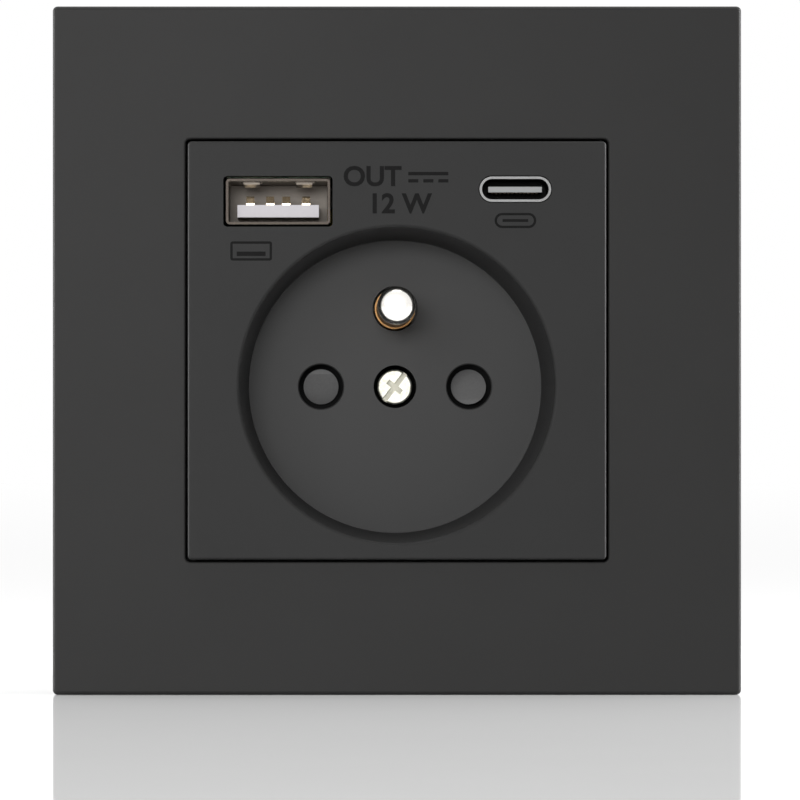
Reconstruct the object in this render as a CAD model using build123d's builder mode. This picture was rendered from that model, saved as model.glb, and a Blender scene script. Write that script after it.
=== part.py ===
from build123d import *
import os

# Sizes are in millimetres. X runs to the right, Z up and Y into the wall, whose face is y = 0.
# A height is measured out of the wall towards the room, so the height h lies at y = -h.

os.makedirs("parts", exist_ok=True)

# Outer frame
FRAME_SIDE = 86.0
FRAME_HEIGHT = 9.0
FRAME_FACE = 2.2
FRAME_WALL = 2.0
FRAME_CORNER_R = 0.6
FRAME_EDGE_R = 0.5
WINDOW_CORNER_R = 0.6
WINDOW_EDGE_R = 0.25
WINDOW_WALL = 1.5
LEDGE_WIDTH = 1.1
LEDGE_THICK = 1.5
TUBE_CLEAR = 0.3
RIB_THICK = 1.2
RIB_PITCH = 26.0

# Cover and its recess
COVER_GAP = 0.3
COVER_PROUD = 0.5
COVER_FACE = 2.0
COVER_CORNER_R = 0.5
COVER_EDGE_R = 0.3
SKIRT_WALL = 1.5
RECESS_DEPTH = 15.0
RECESS_MOUTH_R = 19.65
RECESS_DRAFT = 0.9
RECESS_RIM_R = 0.45
RECESS_MARGIN = 2.15
PORT_STRIP = 10.75
CUP_WALL = 0.85
CUP_FLOOR = 1.5
PIN_SPACING = 19.0
PIN_HOLE_R = 2.85
PIN_HOLE_CHAMFER = 0.15
EARTH_RISE = 10.0

# Earth pin
EARTH_R = 2.4
EARTH_REACH = 14.0
EARTH_TIP_R = 1.5
EARTH_BASE_R = 2.6
EARTH_STEP = 0.1
EARTH_HOLE_R = 2.9
EARTH_FLANGE_R = 4.0
EARTH_FLANGE = 1.45
EARTH_SHANK_R = 1.6

# Centre screw, its boss and its nut
BOSS_R = 4.5
BOSS_BORE_R = 2.75
BOSS_WEB = 1.5
SCREW_HEAD_R = 2.25
SCREW_HEAD = 1.8
SCREW_EDGE_R = 0.27
SCREW_SINK = 2.8
SCREW_R = 1.45
SCREW_HOLE_R = 1.6
SCREW_TIP = 2.4
SLOT_WIDTH = 0.7
SLOT_DEPTH = 0.8
SLOT_ANGLE = 52.0
NUT_SIDE = 5.5
NUT_THICK = 2.4

# Shutter and its spring
SHUTTER_PLAY = 0.2
SHUTTER_HUB_FIT = 0.1
SHUTTER_HUB_WALL = 1.4
SHUTTER_DEPTH = 3.2
PAD_THICK = 1.6
PAD_R = 3.5
STUD_R = 2.25
STUD_LAND = 0.6
RAMP_DROP = 1.2
ARM_WIDTH = 5.0
SHUTTER_OPEN_ANGLE = 42.0
SPRING_WIRE_R = 0.2
SPRING_COIL_GAP = 0.45
SPRING_PITCH = 0.42
SPRING_TURNS = 1.75
SPRING_LIFT = 0.13
SPRING_FRONT_LEG = 3.6
SPRING_BACK_LEG = 5.0
ANCHOR_R = 0.45
ANCHOR_GAP = 0.05
PEG_R = 1.0
PEG_GAP = 0.1

# Contact carrier and contacts
CARRIER_GAP = 0.4
CARRIER_THICK = 2.0
CARRIER_CLEARANCE = 0.4
CARRIER_ABOVE_EARTH = 3.7
GUIDE_WALL = 1.1
GUIDE_LENGTH = 5.0
SLEEVE_R = 2.45
SLEEVE_WALL = 0.75
SLEEVE_FIT = 0.2
SLEEVE_CLEAR = 2.5
SLEEVE_SLIT = 1.2
STRIP = 0.8
NUT_BOSS_R = 4.6
NUT_BOSS = 3.0

# Terminals
BLOCK_SIDE = 7.0
BLOCK_DEPTH = 9.8
BLOCK_GAP = 0.5
BLOCK_CLEAR = 1.8
WIRE_R = 1.7
WIRE_DEPTH = 8.0
TONGUE = 1.5
TONGUE_FIT = 0.05
CLAMP_R = 1.5
CLAMP_HEAD_R = 2.6
CLAMP_HEAD = 1.6
CLAMP_ACCESS_R = 2.9
FEED_R = 0.75
FEED_INSET = 1.0
FEED_SEAT = 1.0
STRAP_WIDTH = 5.0

# Rear housing and yoke
BODY_CLEAR = 1.3
BODY_TOP_INSET = 1.5
BODY_SAG = 3.25
BODY_WALL = 1.6
BODY_BACK = 2.0
BODY_DEPTH = 30.0
BODY_LOW_R = 9.5
BODY_HIGH_R = 4.0
BODY_EDGE_R = 1.0
FLANGE = 1.0
FLANGE_WIDTH = 1.2
EAR_R = 3.2
EAR_REACH = 3.8
EAR_Z = 17.5
WIRE_MOUTH_R = 2.2
WIRE_FUNNEL = 0.8
VENT_WIDTH = 1.4
VENT_LENGTH = 7.0
VENT_PITCH = 3.6
VENT_COUNT = 6
VENT_DROP = 3.5
POST_R = 2.7
POST_LOW_INSET = (5.3, 7.1)
POST_FEED_CLEAR = 0.45
POST_HIGH_RISE = 0.5
POST_SCREW_R = 1.1
POST_HEAD_R = 2.3
POST_HEAD = 1.4
POST_SCREW = 10.0
THREAD_FIT = 0.05
RIB = 1.2
YOKE_MARGIN = 12.1
YOKE_THICK = 1.2
YOKE_CORNER_R = 3.0
YOKE_GAP = 0.3
SLOT_MARGIN = 6.6
SLOT_R = 2.0
SLOT_LENGTH = 8.0
RIVET_R = 1.4
RIVET_FLARE = 0.4
RIVET_FIT = 0.05

# Charging board and its ports
BOARD_INSET = 4.4
BOARD_THICK = 1.2
BOARD_FRONT = 7.0
BOARD_FRONT_GAP = 4.8
BOARD_REAR_GAP = 2.0
BOARD_BACK_GAP = 1.4
RAIL = 1.1
RAIL_BITE = 1.0
RAIL_SET_BACK = 1.0
A_INSET = 11.24
A_WIDTH = 13.0
A_TALL = 5.7
A_STANDOFF = 0.25
A_SHEET = 0.3
A_CORNER_R = 0.5
A_FRONT = 9.0
A_DEPTH = 10.0
A_CUT_GAP = 0.32
A_TONGUE_WIDTH = 10.2
A_TONGUE = 1.55
A_TONGUE_DROP = 1.1
A_TONGUE_SET_BACK = 1.8
A_BLOCK = 1.6
A_CONTACT_WIDTH = 1.0
A_CONTACT = 0.25
A_CONTACT_BOW = 0.9
A_INNER_PITCH = 1.0
A_OUTER_PITCH = 3.5
A_FINGER_PITCH = 3.3
A_FINGER_WIDTH = 2.0
A_FINGER_LENGTH = 4.4
A_FINGER_BEND = 1.32
A_FINGER_TIP = 0.22
A_FINGER_DROP = 0.7
A_FINGER_SET_BACK = 1.0
C_INSET = 11.34
C_WIDTH = 8.94
C_TALL = 3.16
C_SHEET = 0.3
C_FRONT = 9.35
C_DEPTH = 7.35
C_CUT_GAP = 0.12
C_TONGUE_WIDTH = 6.69
C_TONGUE = 0.7
C_TONGUE_SET_BACK = 0.8
C_BLOCK = 1.6
C_CONTACT_WIDTH = 0.26
C_CONTACT = 0.1
C_CONTACT_PITCH = 0.5
C_CONTACT_LENGTH = 3.6
C_CONTACT_COUNT = 12
TAB_WIDTH = 1.8
TAB_HEIGHT = 4.6
TAB_FIT = 0.12

# Parts on the board
CORE_X = -10.5
CORE_FRONT = -14.5
CORE_WIDTH = 13.0
CORE_TALL = 10.6
CORE_DEPTH = 5.0
CORE_LIMB = 1.6
CORE_LEG_R = 1.9
BOBBIN_FIT = 0.2
BOBBIN_FLANGE = 0.8
BOBBIN_DEPTH = 11.0
BOBBIN_RAIL = 2.3
WINDING_R = 4.3
CAN_LEAD = 0.2
IN_CAN_R = 4.0
IN_CAN_LENGTH = 12.0
IN_CAN_X = 4.5
IN_CAN_FRONT = -11.0
OUT_CAN_R = 3.15
OUT_CAN_LENGTH = 9.0
OUT_CAN_X = 13.0
OUT_CAN_FRONT = -9.5
CAN_EDGE_R = 0.5
CHIP_TALL = 1.6
BRIDGE_SIZE = (4.7, 6.2)
BRIDGE_PLACE = (5.0, -5.0)
CONTROL_SIZE = (4.9, 3.9)
CONTROL_PLACE = (-2.5, -5.0)

# Heights and places that follow from the sizes above
COVER_SIDE = RECESS_MARGIN + 2 * RECESS_MOUTH_R + PORT_STRIP
WINDOW_SIDE = COVER_SIDE + 2 * COVER_GAP
FLANGE_HEIGHT = YOKE_THICK + FLANGE
TUBE_FOOT = FLANGE_HEIGHT + TUBE_CLEAR
LEDGE_HEIGHT = TUBE_FOOT + LEDGE_THICK
LEDGE_DEPTH = FRAME_HEIGHT - LEDGE_HEIGHT
TUBE_SIDE = WINDOW_SIDE + 2 * WINDOW_WALL
LEDGE_SIDE = WINDOW_SIDE - 2 * LEDGE_WIDTH
HOLLOW_SIDE = FRAME_SIDE - 2 * FRAME_WALL
COVER_HEIGHT = FRAME_HEIGHT + COVER_PROUD
SOCKET_Z = RECESS_MARGIN + RECESS_MOUTH_R - COVER_SIDE / 2
RECESS_FLOOR_R = RECESS_MOUTH_R - RECESS_DRAFT
CUP_R = RECESS_MOUTH_R + CUP_WALL
EARTH_Z = SOCKET_Z + EARTH_RISE
PIN_X = PIN_SPACING / 2
FLOOR_HEIGHT = COVER_HEIGHT - RECESS_DEPTH
FLOOR_BACK = FLOOR_HEIGHT - CUP_FLOOR
SHUTTER_FRONT = FLOOR_BACK - SHUTTER_PLAY
SHUTTER_BACK = SHUTTER_FRONT - SHUTTER_DEPTH
HUB_R = BOSS_R + SHUTTER_HUB_FIT
COIL_R = BOSS_R + SPRING_COIL_GAP + SPRING_WIRE_R
COIL_TALL = SPRING_PITCH * SPRING_TURNS
ANCHOR_TRACK = SPRING_WIRE_R + ANCHOR_R + ANCHOR_GAP - COIL_R
SCREW_SEAT = FLOOR_HEIGHT - SCREW_SINK - SCREW_HEAD
BOSS_END = SCREW_SEAT - BOSS_WEB
CARRIER_FRONT = BOSS_END - CARRIER_GAP
CARRIER_BACK = CARRIER_FRONT - CARRIER_THICK
COIL_BACK = CARRIER_FRONT + SPRING_WIRE_R + SPRING_LIFT
COIL_TOP = COIL_BACK + COIL_TALL
NUT_FRONT = CARRIER_BACK - SLEEVE_FIT
NUT_BACK = NUT_FRONT - NUT_THICK
SLEEVE_OUTER_R = SLEEVE_R + SLEEVE_WALL
GUIDE_R = SLEEVE_OUTER_R + SLEEVE_FIT
SLEEVE_FRONT = CARRIER_BACK - SLEEVE_FIT
INNER_BACK = BODY_BACK - BODY_DEPTH
SLEEVE_BACK = INNER_BACK + SLEEVE_CLEAR
SLEEVE_LENGTH = SLEEVE_FRONT - SLEEVE_BACK
INNER_WIDTH = 2 * (CUP_R + BODY_CLEAR)
BODY_WIDTH = INNER_WIDTH + 2 * BODY_WALL
BODY_TOP = COVER_SIDE / 2 - BODY_TOP_INSET
BODY_BOTTOM = SOCKET_Z - RECESS_MOUTH_R - BODY_SAG
INNER_BOTTOM = BODY_BOTTOM + BODY_WALL
STRAP_FRONT = SLEEVE_BACK + STRIP + 2 * TONGUE_FIT
STRAP_BACK = STRAP_FRONT - STRIP
BLOCK_BACK = INNER_BACK + SLEEVE_FIT
BLOCK_OUT = INNER_WIDTH / 2 - BLOCK_GAP
BLOCK_IN = PIN_X + SLEEVE_OUTER_R + BLOCK_CLEAR
BLOCK_WIDTH = BLOCK_OUT - BLOCK_IN
BLOCK_X = (BLOCK_OUT + BLOCK_IN) / 2
EARTH_BLOCK_Z = INNER_BOTTOM + BLOCK_GAP + BLOCK_SIDE / 2
CLAMP_HEIGHT = BLOCK_BACK + WIRE_DEPTH / 2
FEED_X = BLOCK_X - FEED_INSET
RAIL_WIDTH = BOARD_REAR_GAP + RAIL_BITE
FEED_HEIGHT = STRAP_BACK
BOARD_UNDERSIDE = COVER_SIDE / 2 - BOARD_INSET
BOARD_TOP = BOARD_UNDERSIDE + BOARD_THICK
BOARD_FRONT_WIDTH = COVER_SIDE - 2 * BOARD_FRONT_GAP
BOARD_REAR_WIDTH = INNER_WIDTH - 2 * BOARD_REAR_GAP
BOARD_REAR = INNER_BACK + BOARD_BACK_GAP
A_X = A_INSET - COVER_SIDE / 2
A_Z = BOARD_UNDERSIDE - A_STANDOFF - A_TALL / 2
A_BACK = A_FRONT - A_DEPTH
C_X = COVER_SIDE / 2 - C_INSET
C_Z = BOARD_UNDERSIDE - C_TALL / 2
C_BACK = C_FRONT - C_DEPTH
POST_LOW = (INNER_WIDTH / 2 - POST_LOW_INSET[0], INNER_BOTTOM + POST_LOW_INSET[1])
POST_HIGH = (FEED_X - FEED_R - POST_FEED_CLEAR - POST_R, EARTH_Z + POST_HIGH_RISE)
POSTS = [(side * x, z) for x, z in (POST_LOW, POST_HIGH) for side in (-1, 1)]
YOKE_SIDE = BODY_WIDTH + 2 * YOKE_MARGIN
SLOT_SPACING = BODY_WIDTH + 2 * SLOT_MARGIN
EAR_X = BODY_WIDTH / 2 + EAR_REACH
EARS = [(side * EAR_X, end * EAR_Z) for side in (-1, 1) for end in (-1, 1)]


def room_face(height, x=0.0, z=0.0):
    """A plane parallel to the wall and seen from the room: sketch x is X, sketch y is Z."""
    return Plane(origin=(x, -height, z), x_dir=(1, 0, 0), z_dir=(0, -1, 0))


def level(z):
    """A horizontal plane seen from above: sketch x is X, sketch y is Y."""
    return Plane(origin=(0, 0, z), x_dir=(1, 0, 0), z_dir=(0, 0, 1))


def upright(x):
    """A plane square to X: sketch x is Y, sketch y is Z."""
    return Plane(origin=(x, 0, 0), x_dir=(0, 1, 0), z_dir=(1, 0, 0))


def rim(part, height, radius):
    """The round edges of this radius at this height."""
    edges = part.edges().filter_by(GeomType.CIRCLE)
    edges = edges.filter_by_position(Axis.Y, -height - 0.01, -height + 0.01)
    return edges.filter_by(lambda edge: abs(edge.radius - radius) < 0.01)


def save(builder, name):
    """Label a finished part and write its STEP file."""
    builder.part.label = name
    export_step(builder.part, f"parts/{name}.step")


# Outer frame: a hollow moulded square with a window tube, a ledge for the cover and ribs
with BuildPart() as outer_frame:
    with BuildSketch(room_face(0)):
        RectangleRounded(FRAME_SIDE, FRAME_SIDE, FRAME_CORNER_R)
    extrude(amount=FRAME_HEIGHT)
    fillet(outer_frame.faces().sort_by(Axis.Y)[0].edges(), FRAME_EDGE_R)
    with BuildSketch(room_face(0)):
        Rectangle(HOLLOW_SIDE, HOLLOW_SIDE)
        Rectangle(TUBE_SIDE, TUBE_SIDE, mode=Mode.SUBTRACT)
    extrude(amount=FRAME_HEIGHT - FRAME_FACE, mode=Mode.SUBTRACT)
    with BuildSketch(room_face(LEDGE_HEIGHT)):
        RectangleRounded(WINDOW_SIDE, WINDOW_SIDE, WINDOW_CORNER_R)
    extrude(amount=LEDGE_DEPTH, mode=Mode.SUBTRACT)
    with BuildSketch(room_face(0)):
        RectangleRounded(LEDGE_SIDE, LEDGE_SIDE, WINDOW_CORNER_R)
    extrude(amount=LEDGE_HEIGHT, mode=Mode.SUBTRACT)
    with BuildSketch(room_face(0)):
        Rectangle(HOLLOW_SIDE, HOLLOW_SIDE)
    extrude(amount=TUBE_FOOT, mode=Mode.SUBTRACT)
    with BuildSketch(room_face(TUBE_FOOT)):
        with GridLocations(RIB_PITCH, 0, 2, 1):
            Rectangle(RIB_THICK, HOLLOW_SIDE)
        with GridLocations(0, RIB_PITCH, 1, 2):
            Rectangle(HOLLOW_SIDE, RIB_THICK)
        Rectangle(TUBE_SIDE, TUBE_SIDE, mode=Mode.SUBTRACT)
    extrude(amount=FRAME_HEIGHT - FRAME_FACE - TUBE_FOOT)
    fillet(outer_frame.faces().sort_by(Axis.Y)[0].inner_wires()[0].edges(), WINDOW_EDGE_R)
save(outer_frame, "outer_frame")

# Cover: face, skirt, recess cup and the boss of the centre screw in one moulding
with BuildPart() as socket_cover:
    with BuildSketch(room_face(LEDGE_HEIGHT)):
        RectangleRounded(COVER_SIDE, COVER_SIDE, COVER_CORNER_R)
    extrude(amount=COVER_HEIGHT - LEDGE_HEIGHT)
    fillet(socket_cover.faces().sort_by(Axis.Y)[0].edges(), COVER_EDGE_R)
    with BuildSketch(room_face(LEDGE_HEIGHT)):
        Rectangle(COVER_SIDE - 2 * SKIRT_WALL, COVER_SIDE - 2 * SKIRT_WALL)
    extrude(amount=COVER_HEIGHT - COVER_FACE - LEDGE_HEIGHT, mode=Mode.SUBTRACT)
    with BuildSketch(room_face(FLOOR_BACK, z=SOCKET_Z)):
        Circle(CUP_R)
    extrude(amount=COVER_HEIGHT - COVER_FACE / 2 - FLOOR_BACK)
    with BuildSketch(room_face(BOSS_END, z=SOCKET_Z)):
        Circle(BOSS_R)
    extrude(amount=FLOOR_BACK - BOSS_END)
    with BuildSketch(level(SOCKET_Z)):
        with BuildLine():
            Polyline(
                (0, -FLOOR_HEIGHT),
                (RECESS_FLOOR_R, -FLOOR_HEIGHT),
                (RECESS_MOUTH_R, -COVER_HEIGHT),
                (0, -COVER_HEIGHT),
                close=True,
            )
        make_face()
    revolve(axis=Axis((0, 0, SOCKET_Z), (0, 1, 0)), mode=Mode.SUBTRACT)
    fillet(rim(socket_cover, COVER_HEIGHT, RECESS_MOUTH_R), RECESS_RIM_R)
    with BuildSketch(room_face(FLOOR_HEIGHT, z=SOCKET_Z)):
        with GridLocations(PIN_SPACING, 0, 2, 1):
            Circle(PIN_HOLE_R)
        with Locations((0, EARTH_RISE)):
            Circle(EARTH_HOLE_R)
    extrude(amount=-CUP_FLOOR, mode=Mode.SUBTRACT)
    with BuildSketch(room_face(FLOOR_HEIGHT, z=SOCKET_Z)):
        Circle(BOSS_BORE_R)
    extrude(amount=SCREW_SEAT - FLOOR_HEIGHT, mode=Mode.SUBTRACT)
    with BuildSketch(room_face(SCREW_SEAT, z=SOCKET_Z)):
        Circle(SCREW_HOLE_R)
    extrude(amount=-BOSS_WEB, mode=Mode.SUBTRACT)
    chamfer(rim(socket_cover, FLOOR_HEIGHT, PIN_HOLE_R), PIN_HOLE_CHAMFER)
    with BuildSketch(room_face(COVER_HEIGHT)):
        with Locations((A_X, A_Z)):
            RectangleRounded(A_WIDTH + 2 * A_CUT_GAP, A_TALL + 2 * A_CUT_GAP, A_CORNER_R)
        with Locations((C_X, C_Z)):
            SlotOverall(C_WIDTH + 2 * C_CUT_GAP, C_TALL + 2 * C_CUT_GAP)
    extrude(amount=-COVER_FACE, mode=Mode.SUBTRACT)
save(socket_cover, "socket_cover")

# Centre screw: cheese head with a slot and a cross recess
with BuildPart() as centre_screw:
    with BuildSketch(room_face(SCREW_SEAT, z=SOCKET_Z)):
        Circle(SCREW_HEAD_R)
    extrude(amount=SCREW_HEAD)
    fillet(rim(centre_screw, SCREW_SEAT + SCREW_HEAD, SCREW_HEAD_R), SCREW_EDGE_R)
    with BuildSketch(room_face(SCREW_SEAT, z=SOCKET_Z)):
        Circle(SCREW_R)
    extrude(amount=NUT_BACK - SCREW_TIP - SCREW_SEAT)
    with BuildSketch(room_face(SCREW_SEAT + SCREW_HEAD, z=SOCKET_Z)):
        Rectangle(2 * SCREW_HEAD_R, SLOT_WIDTH, rotation=SLOT_ANGLE)
        Rectangle(SLOT_WIDTH, SCREW_HEAD_R, rotation=SLOT_ANGLE)
    extrude(amount=-SLOT_DEPTH, mode=Mode.SUBTRACT)
save(centre_screw, "centre_screw")

# Square nut in the pocket of the carrier
with BuildPart() as screw_nut:
    with BuildSketch(room_face(NUT_BACK, z=SOCKET_Z)):
        Rectangle(NUT_SIDE, NUT_SIDE)
        Circle(SCREW_R + THREAD_FIT, mode=Mode.SUBTRACT)
    extrude(amount=NUT_THICK)
save(screw_nut, "screw_nut")

# Shutter: a hub on the cover's boss and two pads, each with a ramped stud under its pin hole
with BuildPart() as shutter:
    with BuildSketch(room_face(SHUTTER_BACK, z=SOCKET_Z)):
        with GridLocations(PIN_SPACING, 0, 2, 1):
            Circle(PAD_R)
        Rectangle(PIN_SPACING, ARM_WIDTH)
    extrude(amount=PAD_THICK)
    with BuildSketch(room_face(SHUTTER_BACK, z=SOCKET_Z)):
        Circle(HUB_R + SHUTTER_HUB_WALL)
    extrude(amount=SHUTTER_DEPTH)
    with BuildSketch(room_face(SHUTTER_BACK + PAD_THICK, z=SOCKET_Z)):
        with GridLocations(PIN_SPACING, 0, 2, 1):
            Circle(STUD_R)
    extrude(amount=SHUTTER_DEPTH - PAD_THICK)
    for side in (-1, 1):
        ramp_end = SOCKET_Z + side * STUD_R
        with BuildSketch(upright(side * (PIN_X - STUD_R))):
            with BuildLine():
                Polyline(
                    (-SHUTTER_FRONT, SOCKET_Z - side * (STUD_R - STUD_LAND)),
                    (-SHUTTER_FRONT, ramp_end),
                    (-SHUTTER_FRONT + RAMP_DROP, ramp_end),
                    close=True,
                )
            make_face()
        extrude(amount=side * 2 * STUD_R, mode=Mode.SUBTRACT)
    with BuildSketch(room_face(SHUTTER_BACK, z=SOCKET_Z)):
        Circle(HUB_R)
    extrude(amount=SHUTTER_DEPTH, mode=Mode.SUBTRACT)
    with BuildSketch(room_face(SHUTTER_BACK, z=SOCKET_Z)):
        with Locations((ANCHOR_TRACK, -SPRING_FRONT_LEG)):
            Circle(ANCHOR_R)
    extrude(amount=COIL_TOP - SHUTTER_BACK)
save(shutter, "shutter")

# Torsion spring: a short coil round the boss with two tangent legs
with BuildPart() as shutter_spring:
    with BuildLine() as coil:
        turns = Helix(
            SPRING_PITCH, COIL_TALL, COIL_R, center=(0, -COIL_BACK, SOCKET_Z), direction=(0, -1, 0)
        )
        Line(turns @ 1, turns @ 1 + (turns % 1) * SPRING_FRONT_LEG)
        back_leg = Line(turns @ 0 - (turns % 0) * SPRING_BACK_LEG, turns @ 0)
    with BuildSketch(Plane(origin=back_leg @ 0, z_dir=turns % 0)):
        Circle(SPRING_WIRE_R)
    sweep(path=coil.wires()[0])
save(shutter_spring, "shutter_spring")

# Contact carrier: a plate behind the shutter with contact guides, the nut's pocket and stop pegs
CARRIER_LOW = INNER_BOTTOM + CARRIER_CLEARANCE
CARRIER_HIGH = EARTH_Z + CARRIER_ABOVE_EARTH
CARRIER_WIDTH = INNER_WIDTH - 2 * CARRIER_CLEARANCE
PEG_TRACK = PAD_R + PEG_R + PEG_GAP
with BuildPart() as contact_carrier:
    with BuildSketch(room_face(CARRIER_BACK)) as outline:
        with Locations((0, (CARRIER_LOW + CARRIER_HIGH) / 2)):
            Rectangle(CARRIER_WIDTH, CARRIER_HIGH - CARRIER_LOW)
        fillet(outline.vertices().group_by(Axis.Z)[0], BODY_LOW_R - BODY_WALL - CARRIER_CLEARANCE)
    extrude(amount=CARRIER_THICK)
    with BuildSketch(room_face(CARRIER_BACK, z=SOCKET_Z)):
        with GridLocations(PIN_SPACING, 0, 2, 1):
            Circle(GUIDE_R + GUIDE_WALL)
    extrude(amount=-GUIDE_LENGTH)
    with BuildSketch(room_face(CARRIER_BACK, z=SOCKET_Z)):
        Circle(NUT_BOSS_R)
    extrude(amount=-NUT_BOSS)
    with BuildSketch(room_face(CARRIER_BACK, z=SOCKET_Z)):
        with GridLocations(PIN_SPACING, 0, 2, 1):
            Circle(GUIDE_R)
        Rectangle(NUT_SIDE + 2 * TONGUE_FIT, NUT_SIDE + 2 * TONGUE_FIT)
    extrude(amount=-GUIDE_LENGTH, mode=Mode.SUBTRACT)
    with BuildSketch(room_face(CARRIER_BACK, z=SOCKET_Z)):
        with GridLocations(PIN_SPACING, 0, 2, 1):
            Circle(PIN_HOLE_R)
        with Locations((0, EARTH_RISE)):
            Circle(EARTH_BASE_R + TONGUE_FIT)
        Circle(SCREW_HOLE_R)
    extrude(amount=CARRIER_THICK, mode=Mode.SUBTRACT)
    with BuildSketch(room_face(CARRIER_BACK)):
        with Locations(*POSTS):
            Circle(POST_SCREW_R + THREAD_FIT)
    extrude(amount=CARRIER_THICK, mode=Mode.SUBTRACT)
    with BuildSketch(room_face(CARRIER_FRONT, z=SOCKET_Z)):
        with Locations((-PIN_X, -PEG_TRACK)):
            Circle(PEG_R)
        with Locations(Location((0, 0, 0), (0, 0, -SHUTTER_OPEN_ANGLE))):
            with Locations((PIN_X, -PEG_TRACK)):
                Circle(PEG_R)
    extrude(amount=SHUTTER_BACK + PAD_THICK - CARRIER_FRONT)
    with BuildSketch(room_face(CARRIER_FRONT, z=SOCKET_Z)):
        with Locations((-SPRING_BACK_LEG, ANCHOR_TRACK)):
            Circle(ANCHOR_R)
    extrude(amount=COIL_BACK + SPRING_WIRE_R - CARRIER_FRONT)
save(contact_carrier, "contact_carrier")

# Four thread-forming screws hold the carrier on the housing posts
with BuildPart() as carrier_screws:
    with BuildSketch(room_face(CARRIER_FRONT)):
        with Locations(*POSTS):
            Circle(POST_HEAD_R)
    extrude(amount=POST_HEAD)
    with BuildSketch(room_face(CARRIER_FRONT)):
        with Locations(*POSTS):
            Circle(POST_SCREW_R)
    extrude(amount=-POST_SCREW)
    with BuildSketch(room_face(CARRIER_FRONT + POST_HEAD)):
        with Locations(*POSTS):
            Rectangle(POST_HEAD_R, SLOT_WIDTH)
            Rectangle(SLOT_WIDTH, POST_HEAD_R)
    extrude(amount=-SLOT_DEPTH, mode=Mode.SUBTRACT)
save(carrier_screws, "carrier_screws")

# Live contact: a split sleeve round the plug pin and a web whose tongue enters the terminal
WEB_FRONT = CARRIER_BACK - GUIDE_LENGTH - SLEEVE_FIT
with BuildPart() as live_contact:
    with BuildSketch(room_face(SLEEVE_BACK, z=SOCKET_Z)):
        with Locations((PIN_X, 0)):
            Circle(SLEEVE_OUTER_R)
    extrude(amount=SLEEVE_LENGTH)
    with BuildSketch(room_face(SLEEVE_BACK, z=SOCKET_Z)):
        with Locations(((PIN_X + BLOCK_IN + TONGUE) / 2, 0)):
            Rectangle(BLOCK_IN + TONGUE - PIN_X, STRIP)
    extrude(amount=WEB_FRONT - SLEEVE_BACK)
    with BuildSketch(room_face(SLEEVE_BACK, z=SOCKET_Z)):
        with Locations((PIN_X, 0)):
            Circle(SLEEVE_R)
        with Locations((PIN_X - SLEEVE_OUTER_R / 2, 0)):
            Rectangle(SLEEVE_OUTER_R, SLEEVE_SLIT)
    extrude(amount=SLEEVE_LENGTH, mode=Mode.SUBTRACT)
save(live_contact, "live_contact")

# Neutral contact: the same piece on the other side
with BuildPart() as neutral_contact:
    mirror(live_contact.part, about=Plane.YZ)
save(neutral_contact, "neutral_contact")

# Live terminal: a brass block with a wire hole from behind and a tapped hole from its side
with BuildPart() as live_terminal:
    with BuildSketch(room_face(BLOCK_BACK, z=SOCKET_Z)):
        with Locations((BLOCK_X, 0)):
            Rectangle(BLOCK_WIDTH, BLOCK_SIDE)
    extrude(amount=BLOCK_DEPTH)
    with BuildSketch(room_face(BLOCK_BACK, z=SOCKET_Z)):
        with Locations((BLOCK_X, 0)):
            Circle(WIRE_R)
    extrude(amount=WIRE_DEPTH, mode=Mode.SUBTRACT)
    with BuildSketch(upright(BLOCK_X)):
        with Locations((-CLAMP_HEIGHT, SOCKET_Z)):
            Circle(CLAMP_R + THREAD_FIT)
    extrude(amount=BLOCK_WIDTH, mode=Mode.SUBTRACT)
    with BuildSketch(room_face(SLEEVE_BACK - TONGUE_FIT, z=SOCKET_Z)):
        with Locations((BLOCK_IN, 0)):
            Rectangle(2 * (TONGUE + TONGUE_FIT), STRIP + 2 * TONGUE_FIT)
    extrude(amount=BLOCK_DEPTH, mode=Mode.SUBTRACT)
    with BuildSketch(level(SOCKET_Z + BLOCK_SIDE / 2)):
        with Locations((FEED_X, -FEED_HEIGHT)):
            Circle(FEED_R + TONGUE_FIT)
    extrude(amount=-FEED_SEAT, mode=Mode.SUBTRACT)
save(live_terminal, "live_terminal")

# Neutral terminal: the same block on the other side
with BuildPart() as neutral_terminal:
    mirror(live_terminal.part, about=Plane.YZ)
save(neutral_terminal, "neutral_terminal")

# Earth pin: tip and body in the room, base through the floor, flange behind the carrier, shank
PIN_TOP = FLOOR_HEIGHT + EARTH_REACH
FLANGE_FRONT = CARRIER_BACK - TONGUE_FIT
with BuildPart() as earth_pin:
    with BuildSketch(room_face(FLOOR_HEIGHT + EARTH_STEP, z=EARTH_Z)):
        Circle(EARTH_R)
    extrude(amount=EARTH_REACH - EARTH_STEP)
    fillet(rim(earth_pin, PIN_TOP, EARTH_R), EARTH_TIP_R)
    with BuildSketch(room_face(FLANGE_FRONT, z=EARTH_Z)):
        Circle(EARTH_BASE_R)
    extrude(amount=FLOOR_HEIGHT + EARTH_STEP - FLANGE_FRONT)
    with BuildSketch(room_face(FLANGE_FRONT, z=EARTH_Z)):
        Circle(EARTH_FLANGE_R)
    extrude(amount=-EARTH_FLANGE)
    with BuildSketch(room_face(FLANGE_FRONT - EARTH_FLANGE, z=EARTH_Z)):
        Circle(EARTH_SHANK_R)
    extrude(amount=STRAP_BACK - STRIP - FLANGE_FRONT + EARTH_FLANGE)
save(earth_pin, "earth_pin")

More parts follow.
